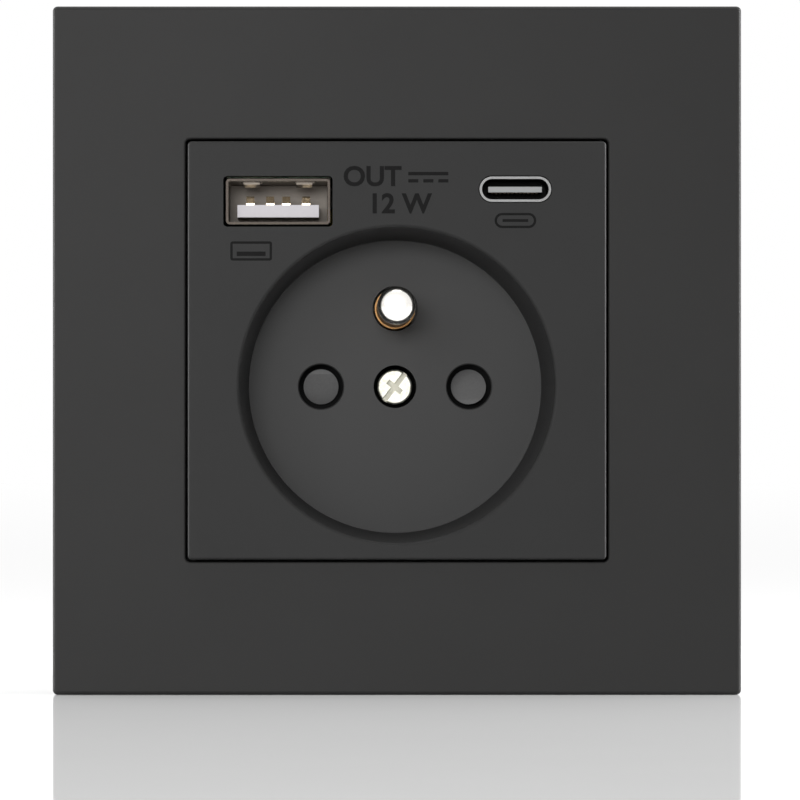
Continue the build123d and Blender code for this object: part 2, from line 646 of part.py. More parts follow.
# Earth strap: a flat strip from the pin's shank down into the earth terminal
STRAP_TOP = EARTH_Z + STRAP_WIDTH / 2
STRAP_LOW = EARTH_BLOCK_Z + BLOCK_SIDE / 2 - TONGUE
with BuildPart() as earth_strap:
    with BuildSketch(room_face(STRAP_BACK)):
        with Locations((0, (STRAP_TOP + STRAP_LOW) / 2)):
            Rectangle(STRAP_WIDTH, STRAP_TOP - STRAP_LOW)
        with Locations((0, EARTH_Z)):
            Circle(EARTH_SHANK_R + TONGUE_FIT, mode=Mode.SUBTRACT)
    extrude(amount=STRIP)
save(earth_strap, "earth_strap")

# Earth terminal: a block like the others, clamped from below
with BuildPart() as earth_terminal:
    with BuildSketch(room_face(BLOCK_BACK, z=EARTH_BLOCK_Z)):
        Rectangle(BLOCK_SIDE, BLOCK_SIDE)
    extrude(amount=BLOCK_DEPTH)
    with BuildSketch(room_face(BLOCK_BACK, z=EARTH_BLOCK_Z)):
        Circle(WIRE_R)
    extrude(amount=WIRE_DEPTH, mode=Mode.SUBTRACT)
    with BuildSketch(level(EARTH_BLOCK_Z)):
        with Locations((0, -CLAMP_HEIGHT)):
            Circle(CLAMP_R + THREAD_FIT)
    extrude(amount=-BLOCK_SIDE, mode=Mode.SUBTRACT)
    with BuildSketch(room_face(STRAP_BACK - TONGUE_FIT, z=EARTH_BLOCK_Z + BLOCK_SIDE / 2)):
        Rectangle(STRAP_WIDTH + 2 * TONGUE_FIT, 2 * (TONGUE + TONGUE_FIT))
    extrude(amount=STRIP + 2 * TONGUE_FIT, mode=Mode.SUBTRACT)
save(earth_terminal, "earth_terminal")

# Clamping screws: one from each side of the housing and one from below
CLAMP_FRAMES = [
    Plane(origin=(BLOCK_OUT, -CLAMP_HEIGHT, SOCKET_Z), z_dir=(1, 0, 0)),
    Plane(origin=(-BLOCK_OUT, -CLAMP_HEIGHT, SOCKET_Z), z_dir=(-1, 0, 0)),
    Plane(origin=(0, -CLAMP_HEIGHT, EARTH_BLOCK_Z - BLOCK_SIDE / 2), z_dir=(0, 0, -1)),
]
SIDE_BITE = BLOCK_WIDTH / 2 - WIRE_R
with BuildPart() as terminal_screws:
    for frame in CLAMP_FRAMES:
        with BuildSketch(frame.offset(THREAD_FIT)):
            Circle(CLAMP_HEAD_R)
        extrude(amount=CLAMP_HEAD)
        with BuildSketch(frame.offset(THREAD_FIT)):
            Circle(CLAMP_R)
        extrude(amount=-SIDE_BITE)
        with BuildSketch(frame.offset(THREAD_FIT + CLAMP_HEAD)):
            Rectangle(2 * CLAMP_HEAD_R, SLOT_WIDTH)
        extrude(amount=-SLOT_DEPTH, mode=Mode.SUBTRACT)
save(terminal_screws, "terminal_screws")

# Rear housing: an open box with a riveted flange, terminal pockets, posts, board rails and vents
BODY_Z = (BODY_TOP + BODY_BOTTOM) / 2
BODY_TALL = BODY_TOP - BODY_BOTTOM


def body_outline(grow):
    """The housing's outline, grown by this much all round."""
    with BuildSketch() as outline:
        with Locations((0, BODY_Z)):
            Rectangle(BODY_WIDTH + 2 * grow, BODY_TALL + 2 * grow)
        fillet(outline.vertices().group_by(Axis.Y)[0], BODY_LOW_R + grow)
        fillet(outline.vertices().group_by(Axis.Y)[-1], BODY_HIGH_R + grow)
    return outline.sketch


with BuildPart() as rear_housing:
    with BuildSketch(room_face(-BODY_DEPTH)):
        add(body_outline(0))
    extrude(amount=BODY_DEPTH + FLANGE_HEIGHT)
    fillet(rear_housing.faces().sort_by(Axis.Y)[-1].edges(), BODY_EDGE_R)
    with BuildSketch(room_face(YOKE_THICK)):
        add(body_outline(FLANGE_WIDTH))
        with Locations(*EARS):
            Circle(EAR_R)
        with GridLocations(0, 2 * EAR_Z, 1, 2):
            Rectangle(2 * EAR_X, 2 * EAR_R)
    extrude(amount=FLANGE)
    with BuildSketch(room_face(INNER_BACK)):
        add(body_outline(-BODY_WALL))
    extrude(amount=FLANGE_HEIGHT - INNER_BACK, mode=Mode.SUBTRACT)
    with BuildSketch(room_face(INNER_BACK)):
        with Locations(*POSTS):
            Circle(POST_R)
    extrude(amount=CARRIER_BACK - INNER_BACK)
    with BuildSketch(room_face(CARRIER_BACK)):
        with Locations(*POSTS):
            Circle(POST_SCREW_R + THREAD_FIT)
    extrude(amount=-POST_SCREW, mode=Mode.SUBTRACT)
    with BuildSketch(room_face(INNER_BACK)):
        rib_gap = BLOCK_SIDE / 2 + TONGUE_FIT + RIB / 2
        rib_run = INNER_WIDTH / 2 - BLOCK_X
        for side in (-1, 1):
            with Locations((side * (BLOCK_X + rib_run / 2), SOCKET_Z)):
                with GridLocations(0, 2 * rib_gap, 1, 2):
                    Rectangle(rib_run, RIB)
        with Locations((0, INNER_BOTTOM + BLOCK_SIDE / 2)):
            with GridLocations(2 * rib_gap, 0, 2, 1):
                Rectangle(RIB, BLOCK_SIDE)
    extrude(amount=BLOCK_DEPTH)
    with BuildSketch(room_face(INNER_BACK)):
        for side in (-1, 1):
            with Locations((side * (INNER_WIDTH - RAIL_WIDTH) / 2, BOARD_UNDERSIDE - RAIL / 2)):
                Rectangle(RAIL_WIDTH, RAIL)
    extrude(amount=A_BACK - RAIL_SET_BACK - INNER_BACK)
    with BuildSketch(room_face(-BODY_DEPTH)):
        with Locations((BLOCK_X, SOCKET_Z), (-BLOCK_X, SOCKET_Z), (0, EARTH_BLOCK_Z)):
            Circle(WIRE_MOUTH_R)
        with Locations((0, BOARD_UNDERSIDE - VENT_DROP)):
            with GridLocations(VENT_PITCH, 0, VENT_COUNT, 1):
                SlotOverall(VENT_LENGTH, VENT_WIDTH, rotation=90)
    extrude(amount=BODY_BACK, mode=Mode.SUBTRACT)
    chamfer(rim(rear_housing, -BODY_DEPTH, WIRE_MOUTH_R), WIRE_FUNNEL)
    for frame in CLAMP_FRAMES:
        with BuildSketch(frame.offset(BLOCK_GAP)):
            Circle(CLAMP_ACCESS_R)
        extrude(amount=2 * BODY_WALL, mode=Mode.SUBTRACT)
    with BuildSketch(room_face(YOKE_THICK)):
        with Locations(*EARS):
            Circle(RIVET_R + RIVET_FIT)
    extrude(amount=FLANGE, mode=Mode.SUBTRACT)
    chamfer(rim(rear_housing, FLANGE_HEIGHT, RIVET_R + RIVET_FIT), RIVET_FLARE)
save(rear_housing, "rear_housing")

# Mounting yoke: flat galvanised plate with the housing's window and two slots for box screws
with BuildPart() as mounting_yoke:
    with BuildSketch(room_face(0)):
        RectangleRounded(YOKE_SIDE, YOKE_SIDE, YOKE_CORNER_R)
        add(body_outline(YOKE_GAP), mode=Mode.SUBTRACT)
        with GridLocations(SLOT_SPACING, 0, 2, 1):
            SlotOverall(SLOT_LENGTH, 2 * SLOT_R, mode=Mode.SUBTRACT)
        with Locations(*EARS):
            Circle(RIVET_R + RIVET_FIT, mode=Mode.SUBTRACT)
    extrude(amount=YOKE_THICK)
    chamfer(rim(mounting_yoke, 0, RIVET_R + RIVET_FIT), RIVET_FLARE)
save(mounting_yoke, "mounting_yoke")

# Four flush rivets through the ears and the yoke
with BuildPart() as yoke_rivets:
    with BuildSketch(room_face(0)):
        with Locations(*EARS):
            Circle(RIVET_R)
    extrude(amount=FLANGE_HEIGHT)
    for height, way in ((0, 1), (FLANGE_HEIGHT, -1)):
        with BuildSketch(room_face(height)):
            with Locations(*EARS):
                Circle(RIVET_R + RIVET_FLARE)
        extrude(amount=way * RIVET_FLARE, taper=45)
save(yoke_rivets, "yoke_rivets")

# Charging board: lies flat above the recess with both ports hung under its front edge
A_TAB_X = A_WIDTH / 2 - A_SHEET / 2
C_TAB_X = C_WIDTH / 2 - C_TALL / 2
A_TABS = [(A_X + side * A_TAB_X, -TAB_HEIGHT) for side in (-1, 1)]
C_TABS = [(C_X + side * C_TAB_X, -TAB_HEIGHT) for side in (-1, 1)]
A_PITCHES = (-A_OUTER_PITCH, -A_INNER_PITCH, A_INNER_PITCH, A_OUTER_PITCH)
with BuildPart() as usb_board:
    with BuildSketch(level(BOARD_UNDERSIDE)):
        with Locations((0, -(BOARD_FRONT + FLANGE_HEIGHT + COVER_GAP) / 2)):
            Rectangle(BOARD_FRONT_WIDTH, BOARD_FRONT - FLANGE_HEIGHT - COVER_GAP)
        with Locations((0, -(BOARD_FRONT + BOARD_REAR) / 2)):
            Rectangle(BOARD_REAR_WIDTH, BOARD_FRONT - BOARD_REAR)
        with Locations((FEED_X, -FEED_HEIGHT), (-FEED_X, -FEED_HEIGHT)):
            Circle(FEED_R + TONGUE_FIT, mode=Mode.SUBTRACT)
        with Locations(*A_TABS, *C_TABS):
            Rectangle(A_SHEET + 2 * TAB_FIT, TAB_WIDTH + 2 * TAB_FIT, mode=Mode.SUBTRACT)
        with Locations(*[(A_X + x, -A_BACK + A_CONTACT / 2) for x in A_PITCHES]):
            Rectangle(A_CONTACT_WIDTH + 2 * TAB_FIT, A_CONTACT + 2 * TAB_FIT, mode=Mode.SUBTRACT)
    extrude(amount=BOARD_THICK)
save(usb_board, "usb_board")

# Rectangular port shell: folded sheet with two spring fingers and two solder tabs
A_TOP = A_Z + A_TALL / 2
A_FINGER_ROOT = A_FINGER_SET_BACK + A_FINGER_LENGTH - A_FRONT
A_BEND_Y = A_FINGER_ROOT - A_FINGER_LENGTH + A_FINGER_BEND
A_TIP_Y = A_FINGER_ROOT - A_FINGER_LENGTH + A_FINGER_TIP
with BuildPart() as usb_a_shell:
    with BuildSketch(room_face(A_BACK, A_X, A_Z)):
        RectangleRounded(A_WIDTH, A_TALL, A_CORNER_R)
        RectangleRounded(
            A_WIDTH - 2 * A_SHEET, A_TALL - 2 * A_SHEET, A_CORNER_R - A_SHEET, mode=Mode.SUBTRACT
        )
    extrude(amount=A_DEPTH)
    with BuildSketch(level(A_TOP)):
        for x in (-A_FINGER_PITCH, A_FINGER_PITCH):
            with Locations((A_X + x, A_FINGER_ROOT - A_FINGER_LENGTH / 2)):
                Rectangle(A_FINGER_WIDTH + 2 * A_SHEET, A_FINGER_LENGTH)
    extrude(amount=-A_SHEET, mode=Mode.SUBTRACT)
    for x in (-A_FINGER_PITCH, A_FINGER_PITCH):
        with BuildSketch(upright(A_X + x - A_FINGER_WIDTH / 2)):
            with BuildLine():
                Polyline(
                    (A_FINGER_ROOT + A_SHEET, A_TOP),
                    (A_FINGER_ROOT + A_SHEET, A_TOP - A_SHEET),
                    (A_BEND_Y, A_TOP - A_SHEET - A_FINGER_DROP),
                    (A_TIP_Y, A_TOP - A_SHEET - A_FINGER_DROP / 2),
                    (A_TIP_Y, A_TOP - A_FINGER_DROP / 2),
                    (A_BEND_Y, A_TOP - A_FINGER_DROP),
                    close=True,
                )
            make_face()
        extrude(amount=A_FINGER_WIDTH)
    with BuildSketch(level(A_Z)):
        with Locations(*A_TABS):
            Rectangle(A_SHEET, TAB_WIDTH)
    extrude(amount=BOARD_TOP - A_Z)
save(usb_a_shell, "usb_a_shell")

# Rectangular port insulator: block across the back of the shell and the contact tongue
A_TONGUE_Z = A_Z - A_TONGUE_DROP
A_TONGUE_TOP = A_TONGUE_Z + A_TONGUE / 2
with BuildPart() as usb_a_insulator:
    with BuildSketch(room_face(A_BACK, A_X, A_Z)):
        Rectangle(A_WIDTH - 2 * A_SHEET - 2 * TONGUE_FIT, A_TALL - 2 * A_SHEET - 2 * TONGUE_FIT)
    extrude(amount=A_BLOCK)
    with BuildSketch(room_face(A_BACK, A_X, A_TONGUE_Z)):
        Rectangle(A_TONGUE_WIDTH, A_TONGUE)
    extrude(amount=A_DEPTH - A_TONGUE_SET_BACK)
    with BuildSketch(room_face(A_BACK, A_X, A_TONGUE_TOP + A_CONTACT / 2)):
        with Locations(*[(x, 0) for x in A_PITCHES]):
            Rectangle(A_CONTACT_WIDTH + 2 * TONGUE_FIT, A_CONTACT + 2 * TONGUE_FIT)
    extrude(amount=A_BLOCK, mode=Mode.SUBTRACT)
save(usb_a_insulator, "usb_a_insulator")

# Rectangular port contacts: four bowed springs on the tongue with tails up into the board
A_BOW_ROOT = -A_BACK - A_BLOCK
A_BOW_TIP = -A_FRONT + A_TONGUE_SET_BACK + A_CONTACT_WIDTH
A_BOW_CREST = A_BOW_TIP + A_CONTACT_BOW / 2
with BuildPart() as usb_a_contacts:
    for x in A_PITCHES:
        with BuildSketch(upright(A_X + x - A_CONTACT_WIDTH / 2)):
            with BuildLine():
                Polyline(
                    (-A_BACK, A_TONGUE_TOP),
                    (A_BOW_ROOT, A_TONGUE_TOP),
                    (A_BOW_CREST, A_TONGUE_TOP + A_CONTACT_BOW),
                    (A_BOW_TIP, A_TONGUE_TOP),
                    (A_BOW_TIP, A_TONGUE_TOP + A_CONTACT),
                    (A_BOW_CREST, A_TONGUE_TOP + A_CONTACT_BOW + A_CONTACT),
                    (A_BOW_ROOT, A_TONGUE_TOP + A_CONTACT),
                    (-A_BACK, A_TONGUE_TOP + A_CONTACT),
                    (-A_BACK, BOARD_TOP),
                    (-A_BACK + A_CONTACT, BOARD_TOP),
                    (-A_BACK + A_CONTACT, A_TONGUE_TOP),
                    close=True,
                )
            make_face()
        extrude(amount=A_CONTACT_WIDTH)
save(usb_a_contacts, "usb_a_contacts")

# Oval port shell: drawn tube with two solder tabs
with BuildPart() as usb_c_shell:
    with BuildSketch(room_face(C_BACK, C_X, C_Z)):
        SlotOverall(C_WIDTH, C_TALL)
        SlotOverall(C_WIDTH - 2 * C_SHEET, C_TALL - 2 * C_SHEET, mode=Mode.SUBTRACT)
    extrude(amount=C_DEPTH)
    with BuildSketch(level(BOARD_UNDERSIDE - C_SHEET / 2)):
        with Locations(*C_TABS):
            Rectangle(C_SHEET, TAB_WIDTH)
    extrude(amount=BOARD_THICK + C_SHEET / 2)
save(usb_c_shell, "usb_c_shell")

# Oval port insulator: plug across the back of the shell and the thin tongue
with BuildPart() as usb_c_insulator:
    with BuildSketch(room_face(C_BACK, C_X, C_Z)):
        SlotOverall(C_WIDTH - 2 * C_SHEET - 2 * TONGUE_FIT, C_TALL - 2 * C_SHEET - 2 * TONGUE_FIT)
    extrude(amount=C_BLOCK)
    with BuildSketch(room_face(C_BACK, C_X, C_Z)):
        Rectangle(C_TONGUE_WIDTH, C_TONGUE)
    extrude(amount=C_DEPTH - C_TONGUE_SET_BACK)
save(usb_c_insulator, "usb_c_insulator")

# Oval port contacts: a row of flat strips on each face of the tongue
with BuildPart() as usb_c_contacts:
    with BuildSketch(room_face(C_BACK + C_BLOCK, C_X, C_Z)):
        with GridLocations(C_CONTACT_PITCH, C_TONGUE + C_CONTACT, C_CONTACT_COUNT, 2):
            Rectangle(C_CONTACT_WIDTH, C_CONTACT)
    extrude(amount=C_CONTACT_LENGTH)
save(usb_c_contacts, "usb_c_contacts")

# Transformer core: a ferrite ring with a round centre leg
CORE_TOP = BOARD_UNDERSIDE - CAN_LEAD
CORE_Z = CORE_TOP - CORE_TALL / 2
CORE_MID = CORE_FRONT - CORE_DEPTH / 2
CORE_WINDOW = CORE_TALL - 2 * CORE_LIMB
with BuildPart() as transformer_core:
    with BuildSketch(room_face(CORE_FRONT, CORE_X, CORE_Z)):
        Rectangle(CORE_WIDTH, CORE_TALL)
        Rectangle(CORE_WIDTH - 2 * CORE_LIMB, CORE_WINDOW, mode=Mode.SUBTRACT)
    extrude(amount=-CORE_DEPTH)
    with BuildSketch(level(CORE_Z - CORE_WINDOW / 2)):
        with Locations((CORE_X, -CORE_MID)):
            Circle(CORE_LEG_R)
    extrude(amount=CORE_WINDOW)
save(transformer_core, "transformer_core")

# Transformer bobbin: a tube round the leg, two flanges and two pin rails that meet the board
BOBBIN_TALL = CORE_WINDOW - 2 * BOBBIN_FIT
BOBBIN_WIDTH = CORE_WIDTH - 2 * CORE_LIMB - 2 * BOBBIN_FIT
BOBBIN_LOW = CORE_Z - BOBBIN_TALL / 2
with BuildPart() as transformer_bobbin:
    with BuildSketch(level(BOBBIN_LOW)):
        with Locations((CORE_X, -CORE_MID)):
            Circle(CORE_LEG_R + BOBBIN_FIT + BOBBIN_FLANGE)
    extrude(amount=BOBBIN_TALL)
    for low in (BOBBIN_LOW, BOBBIN_LOW + BOBBIN_TALL - BOBBIN_FLANGE):
        with BuildSketch(level(low)):
            with Locations((CORE_X, -CORE_MID)):
                Rectangle(BOBBIN_WIDTH, BOBBIN_DEPTH)
        extrude(amount=BOBBIN_FLANGE)
    with BuildSketch(level(BOBBIN_LOW + BOBBIN_TALL - BOBBIN_FLANGE)):
        with Locations((CORE_X, -CORE_MID)):
            with GridLocations(0, BOBBIN_DEPTH - BOBBIN_RAIL, 1, 2):
                Rectangle(BOBBIN_WIDTH, BOBBIN_RAIL)
    extrude(amount=BOARD_UNDERSIDE - BOBBIN_LOW - BOBBIN_TALL + BOBBIN_FLANGE)
    with BuildSketch(level(BOBBIN_LOW)):
        with Locations((CORE_X, -CORE_MID)):
            Circle(CORE_LEG_R + BOBBIN_FIT)
    extrude(amount=BOBBIN_TALL, mode=Mode.SUBTRACT)
save(transformer_bobbin, "transformer_bobbin")

# Transformer winding: taped turns between the bobbin flanges
with BuildPart() as transformer_winding:
    with BuildSketch(level(BOBBIN_LOW + BOBBIN_FLANGE)):
        with Locations((CORE_X, -CORE_MID)):
            Circle(WINDING_R)
            Circle(CORE_LEG_R + BOBBIN_FIT + BOBBIN_FLANGE, mode=Mode.SUBTRACT)
    extrude(amount=BOBBIN_TALL - 2 * BOBBIN_FLANGE)
save(transformer_winding, "transformer_winding")

# Capacitors: two cans that lie along the board
CANS = {
    "input_capacitor": (IN_CAN_X, IN_CAN_R, IN_CAN_FRONT, IN_CAN_LENGTH),
    "output_capacitor": (OUT_CAN_X, OUT_CAN_R, OUT_CAN_FRONT, OUT_CAN_LENGTH),
}
for name, (x, radius, front, length) in CANS.items():
    with BuildPart() as can:
        with BuildSketch(room_face(front, x, BOARD_UNDERSIDE - CAN_LEAD - radius)):
            Circle(radius)
        extrude(amount=-length)
        fillet(can.edges().filter_by(GeomType.CIRCLE), CAN_EDGE_R)
    save(can, name)

# Chips under the front of the board
CHIPS = {
    "bridge_rectifier": (BRIDGE_PLACE, BRIDGE_SIZE),
    "controller_chip": (CONTROL_PLACE, CONTROL_SIZE),
}
for name, ((x, height), (wide, deep)) in CHIPS.items():
    with BuildPart() as chip:
        with BuildSketch(level(BOARD_UNDERSIDE)):
            with Locations((x, -height)):
                Rectangle(wide, deep)
        extrude(amount=-CHIP_TALL)
    save(chip, name)

# Feed wires: from each mains terminal straight up into the board
for name, x in (("live_supply_wire", FEED_X), ("neutral_supply_wire", -FEED_X)):
    with BuildPart() as feed:
        with BuildSketch(level(SOCKET_Z + BLOCK_SIDE / 2 - FEED_SEAT)):
            with Locations((x, -FEED_HEIGHT)):
                Circle(FEED_R)
        extrude(amount=BOARD_TOP - SOCKET_Z - BLOCK_SIDE / 2 + FEED_SEAT)
    save(feed, name)
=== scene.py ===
from math import radians
import bmesh
import bpy
from mathutils import Matrix, Vector


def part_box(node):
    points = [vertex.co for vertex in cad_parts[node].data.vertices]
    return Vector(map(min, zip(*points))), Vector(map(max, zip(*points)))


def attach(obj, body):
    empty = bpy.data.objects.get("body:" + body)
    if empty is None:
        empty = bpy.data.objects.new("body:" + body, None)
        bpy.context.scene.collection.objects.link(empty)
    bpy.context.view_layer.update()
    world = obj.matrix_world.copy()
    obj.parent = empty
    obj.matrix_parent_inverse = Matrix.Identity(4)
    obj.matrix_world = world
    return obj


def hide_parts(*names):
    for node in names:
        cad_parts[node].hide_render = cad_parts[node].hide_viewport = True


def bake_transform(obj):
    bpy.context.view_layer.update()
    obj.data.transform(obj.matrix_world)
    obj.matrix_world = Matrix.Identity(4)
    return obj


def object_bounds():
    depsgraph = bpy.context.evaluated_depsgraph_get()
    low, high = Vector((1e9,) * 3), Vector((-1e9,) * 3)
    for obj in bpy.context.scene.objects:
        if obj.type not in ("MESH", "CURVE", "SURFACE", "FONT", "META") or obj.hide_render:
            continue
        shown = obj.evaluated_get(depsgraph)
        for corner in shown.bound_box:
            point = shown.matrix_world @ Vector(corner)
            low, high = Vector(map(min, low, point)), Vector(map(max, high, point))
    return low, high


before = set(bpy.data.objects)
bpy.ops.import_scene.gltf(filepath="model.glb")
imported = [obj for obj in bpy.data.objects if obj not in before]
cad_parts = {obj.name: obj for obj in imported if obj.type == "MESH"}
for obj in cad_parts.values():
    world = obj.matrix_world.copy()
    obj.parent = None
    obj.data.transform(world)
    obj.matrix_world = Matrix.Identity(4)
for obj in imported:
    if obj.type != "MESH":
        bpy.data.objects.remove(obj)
cad_low, cad_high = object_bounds()
scene = bpy.context.scene
scene.view_settings.view_transform = "Standard"
MM = 0.001


# Mounting yoke and its rivets: a flat plate stamped from galvanised sheet, which carries the
# housing and lies on the wall. Four steel rivets are set flush through the housing's ears.
class Signal:
    """A shader socket that takes part in Python arithmetic; each operator adds a Math node."""

    def __init__(self, finish, socket):
        self.finish = finish
        self.socket = socket

    def math(self, operation, left, right):
        return self.finish.node("ShaderNodeMath", {"operation": operation}, {0: left, 1: right})

    def __add__(self, other):
        return self.math("ADD", self, other)

    def __radd__(self, other):
        return self.math("ADD", other, self)

    def __sub__(self, other):
        return self.math("SUBTRACT", self, other)

    def __rsub__(self, other):
        return self.math("SUBTRACT", other, self)

    def __mul__(self, other):
        return self.math("MULTIPLY", self, other)

    def __rmul__(self, other):
        return self.math("MULTIPLY", other, self)

    def __gt__(self, other):
        return self.math("GREATER_THAN", self, other)

    def __lt__(self, other):
        return self.math("LESS_THAN", self, other)


class Finish:
    """A procedural material that grows node by node on one Principled shader."""

    # A Mix node's colour sockets share their names with its number sockets, so they go by place.
    MIX_FIRST, MIX_SECOND, MIX_RESULT = 6, 7, 2

    def __init__(self, name):
        self.material = bpy.data.materials.new(name)
        self.material.use_nodes = True
        self.tree = self.material.node_tree
        self.shader = self.tree.nodes["Principled BSDF"]

    def node(self, kind, settings, sockets, output=0):
        """Add a node, set it up, fill or link its sockets and return one of its outputs."""
        made = self.tree.nodes.new(kind)
        for key, value in settings.items():
            setattr(made, key, value)
        self.fill(made, sockets)
        return Signal(self, made.outputs[output])

    def fill(self, node, sockets):
        """Link each socket that is given a signal and set each that is given a value."""
        for key, value in sockets.items():
            if isinstance(value, Signal):
                self.tree.links.new(value.socket, node.inputs[key])
            else:
                node.inputs[key].default_value = value

    def shade(self, sockets):
        """Fill the sockets of the shader itself."""
        self.fill(self.shader, sockets)

    def place(self):
        """The point on the object, in metres."""
        return self.node("ShaderNodeTexCoord", {}, {}, "Object")

    def stretched(self, scale):
        """That point, scaled along each axis."""
        return self.node("ShaderNodeMapping", {}, {"Vector": self.place(), "Scale": scale})

    def along(self, axis):
        """One coordinate of that point."""
        return self.node("ShaderNodeSeparateXYZ", {}, {"Vector": self.place()}, axis)

    def noise(self, grain, detail=3.0, vector=None):
        """Noise between 0 and 1 with grains of this size in metres."""
        sockets = {"Vector": vector or self.place(), "Scale": 1 / grain, "Detail": detail}
        return self.node("ShaderNodeTexNoise", {}, sockets)

    def between(self, value, low, high):
        """0 below the low value, 1 above the high one and a smooth step between them."""
        settings = {"interpolation_type": "SMOOTHSTEP"}
        sockets = {"Value": value, "From Min": low, "From Max": high}
        return self.node("ShaderNodeMapRange", settings, sockets)

    def blend(self, factor, first, second):
        """A colour between two others."""
        sockets = {0: factor, self.MIX_FIRST: first, self.MIX_SECOND: second}
        return self.node("ShaderNodeMix", {"data_type": "RGBA"}, sockets, self.MIX_RESULT)

    def relief(self, height, strength, depth):
        """A bump of this height signal, this deep in metres."""
        sockets = {"Height": height, "Strength": strength, "Distance": depth}
        return self.node("ShaderNodeBump", {}, sockets)

    def dress(self, *names):
        """Give this finish to CAD nodes."""
        for name in names:
            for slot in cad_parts[name].material_slots:
                slot.material = self.material


CLOUD_GRAINS = 12
SCRATCH_DEPTH = 0.01 * MM


def scaled(colour, factor):
    """A colour made darker or lighter by this factor."""
    return (*(min(1.0, channel * factor) for channel in colour[:3]), 1.0)


def metal(name, colour, roughness, grain, spread=0.1):
    """Plated or drawn metal: faint cloudy tone and fine marks in its gloss."""
    finish = Finish(name)
    clouds = finish.noise(grain * CLOUD_GRAINS)
    marks = finish.noise(grain, detail=5.0)
    finish.shade({
        "Metallic": 1.0,
        "Base Color": finish.blend(clouds, scaled(colour, 1 - spread), scaled(colour, 1 + spread)),
        "Roughness": roughness - spread + 2 * spread * marks,
        "Normal": finish.relief(marks, strength=0.15, depth=SCRATCH_DEPTH),
    })
    return finish


ZINC = (0.56, 0.58, 0.60, 1.0)
PLATED = (0.80, 0.79, 0.75, 1.0)
SPANGLE = 4.0 * MM
HAZE_GRAIN = 0.3 * MM
yoke = Finish("yoke_zinc")
spangles = yoke.node(
    "ShaderNodeTexVoronoi", {}, {"Vector": yoke.place(), "Scale": 1 / SPANGLE}, "Color"
)
spangle = yoke.node("ShaderNodeSeparateColor", {}, {"Color": spangles})
haze = yoke.noise(HAZE_GRAIN, detail=4.0)
yoke.shade({
    "Metallic": 1.0,
    "Base Color": yoke.blend(spangle, scaled(ZINC, 0.82), scaled(ZINC, 1.12)),
    "Roughness": 0.34 + 0.16 * spangle + 0.1 * haze,
    "Normal": yoke.relief(haze, strength=0.1, depth=SCRATCH_DEPTH),
})
yoke.dress("mounting_yoke")
plated = metal("plated_steel", PLATED, roughness=0.28, grain=0.08 * MM)
plated.dress("yoke_rivets")

# Rear housing: an open box moulded in glass-filled nylon, whose walls hold the terminals, the
# contact carrier and the charging board. Its surface has the grey haze of glass fibres.
BROAD_GRAINS = 90
GRAIN_DEPTH = 0.02 * MM


def tint(level, warm=0.0):
    """A grey of this level, a little warmer or cooler."""
    return (level * (1 + warm), level, level * (1 - warm), 1.0)


def moulded(name, colour, roughness, grain, relief, specular=0.5, mottle=0.08):
    """Moulded plastic with the fine matt grain of an eroded tool."""
    finish = Finish(name)
    fine = finish.noise(grain, detail=2.0)
    broad = finish.noise(grain * BROAD_GRAINS, detail=2.0)
    finish.shade({
        "Base Color": finish.blend(broad, scaled(colour, 1 - mottle), scaled(colour, 1 + mottle)),
        "Roughness": roughness - 0.06 + 0.12 * fine,
        "Specular IOR Level": specular,
        "Normal": finish.relief(fine, strength=relief, depth=GRAIN_DEPTH),
    })
    return finish


housing = moulded(
    "housing_black", tint(0.022),
    roughness=0.55, grain=0.22 * MM, relief=0.35, specular=0.4, mottle=0.2,
)
housing.dress("rear_housing")

# Marks at the wire entries: pad-printed letters for the two mains wires and bars for the earth,
# in pale ink on the back of the housing.
MARK_THICK = 0.03 * MM
LETTER_SWELL = 1 / 36
LETTER_STEPS = 4
WELD = 0.001 * MM


def flat_text(words, size):
    """Lettering as a mesh in the XY plane, centred on its middle."""
    curve = bpy.data.curves.new("lettering", "FONT")
    curve.body = words
    curve.size = size
    curve.align_x = "CENTER"
    curve.align_y = "CENTER"
    curve.extrude = MARK_THICK / 2
    curve.offset = size * LETTER_SWELL
    curve.resolution_u = LETTER_STEPS
    holder = bpy.data.objects.new("lettering", curve)
    scene.collection.objects.link(holder)
    bpy.context.view_layer.update()
    shaped = holder.evaluated_get(bpy.context.evaluated_depsgraph_get())
    mesh = bpy.data.meshes.new_from_object(shaped)
    bpy.data.objects.remove(holder)
    made = bmesh.new()
    made.from_mesh(mesh)
    bpy.data.meshes.remove(mesh)
    bmesh.ops.remove_doubles(made, verts=made.verts, dist=WELD)
    return made


def bar(width, height, x=0.0, y=0.0):
    """A flat printed bar in the XY plane."""
    made = bmesh.new()
    bmesh.ops.create_cube(made, size=1.0)
    bmesh.ops.scale(made, vec=(width, height, MARK_THICK), verts=made.verts)
    bmesh.ops.translate(made, vec=(x, y, 0), verts=made.verts)
    return made


def joined(*pieces):
    """Several bmeshes as one."""
    whole = bmesh.new()
    for piece in pieces:
        mesh = bpy.data.meshes.new("piece")
        piece.to_mesh(mesh)
        piece.free()
        whole.from_mesh(mesh)
        bpy.data.meshes.remove(mesh)
    return whole


def finished(name, made, finish):
    """A bmesh as an object of the scene with this finish."""
    mesh = bpy.data.meshes.new(name)
    made.to_mesh(mesh)
    made.free()
    mesh.materials.append(finish.material)
    piece = bpy.data.objects.new(name, mesh)
    scene.collection.objects.link(piece)
    return piece


def printed(name, made, place, finish):
    """Put a flat mark on a face of the object and fix it there."""
    bmesh.ops.transform(made, matrix=place, verts=made.verts)
    bmesh.ops.recalc_face_normals(made, faces=made.faces)
    piece = finished(name, made, finish)
    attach(piece, "socket")


def on_back(x, depth, z):
    """The place of a mark that is read from behind."""
    turn = Matrix(((-1, 0, 0), (0, 0, 1), (0, 1, 0))).to_4x4()
    return Matrix.Translation((x, depth, z)) @ turn


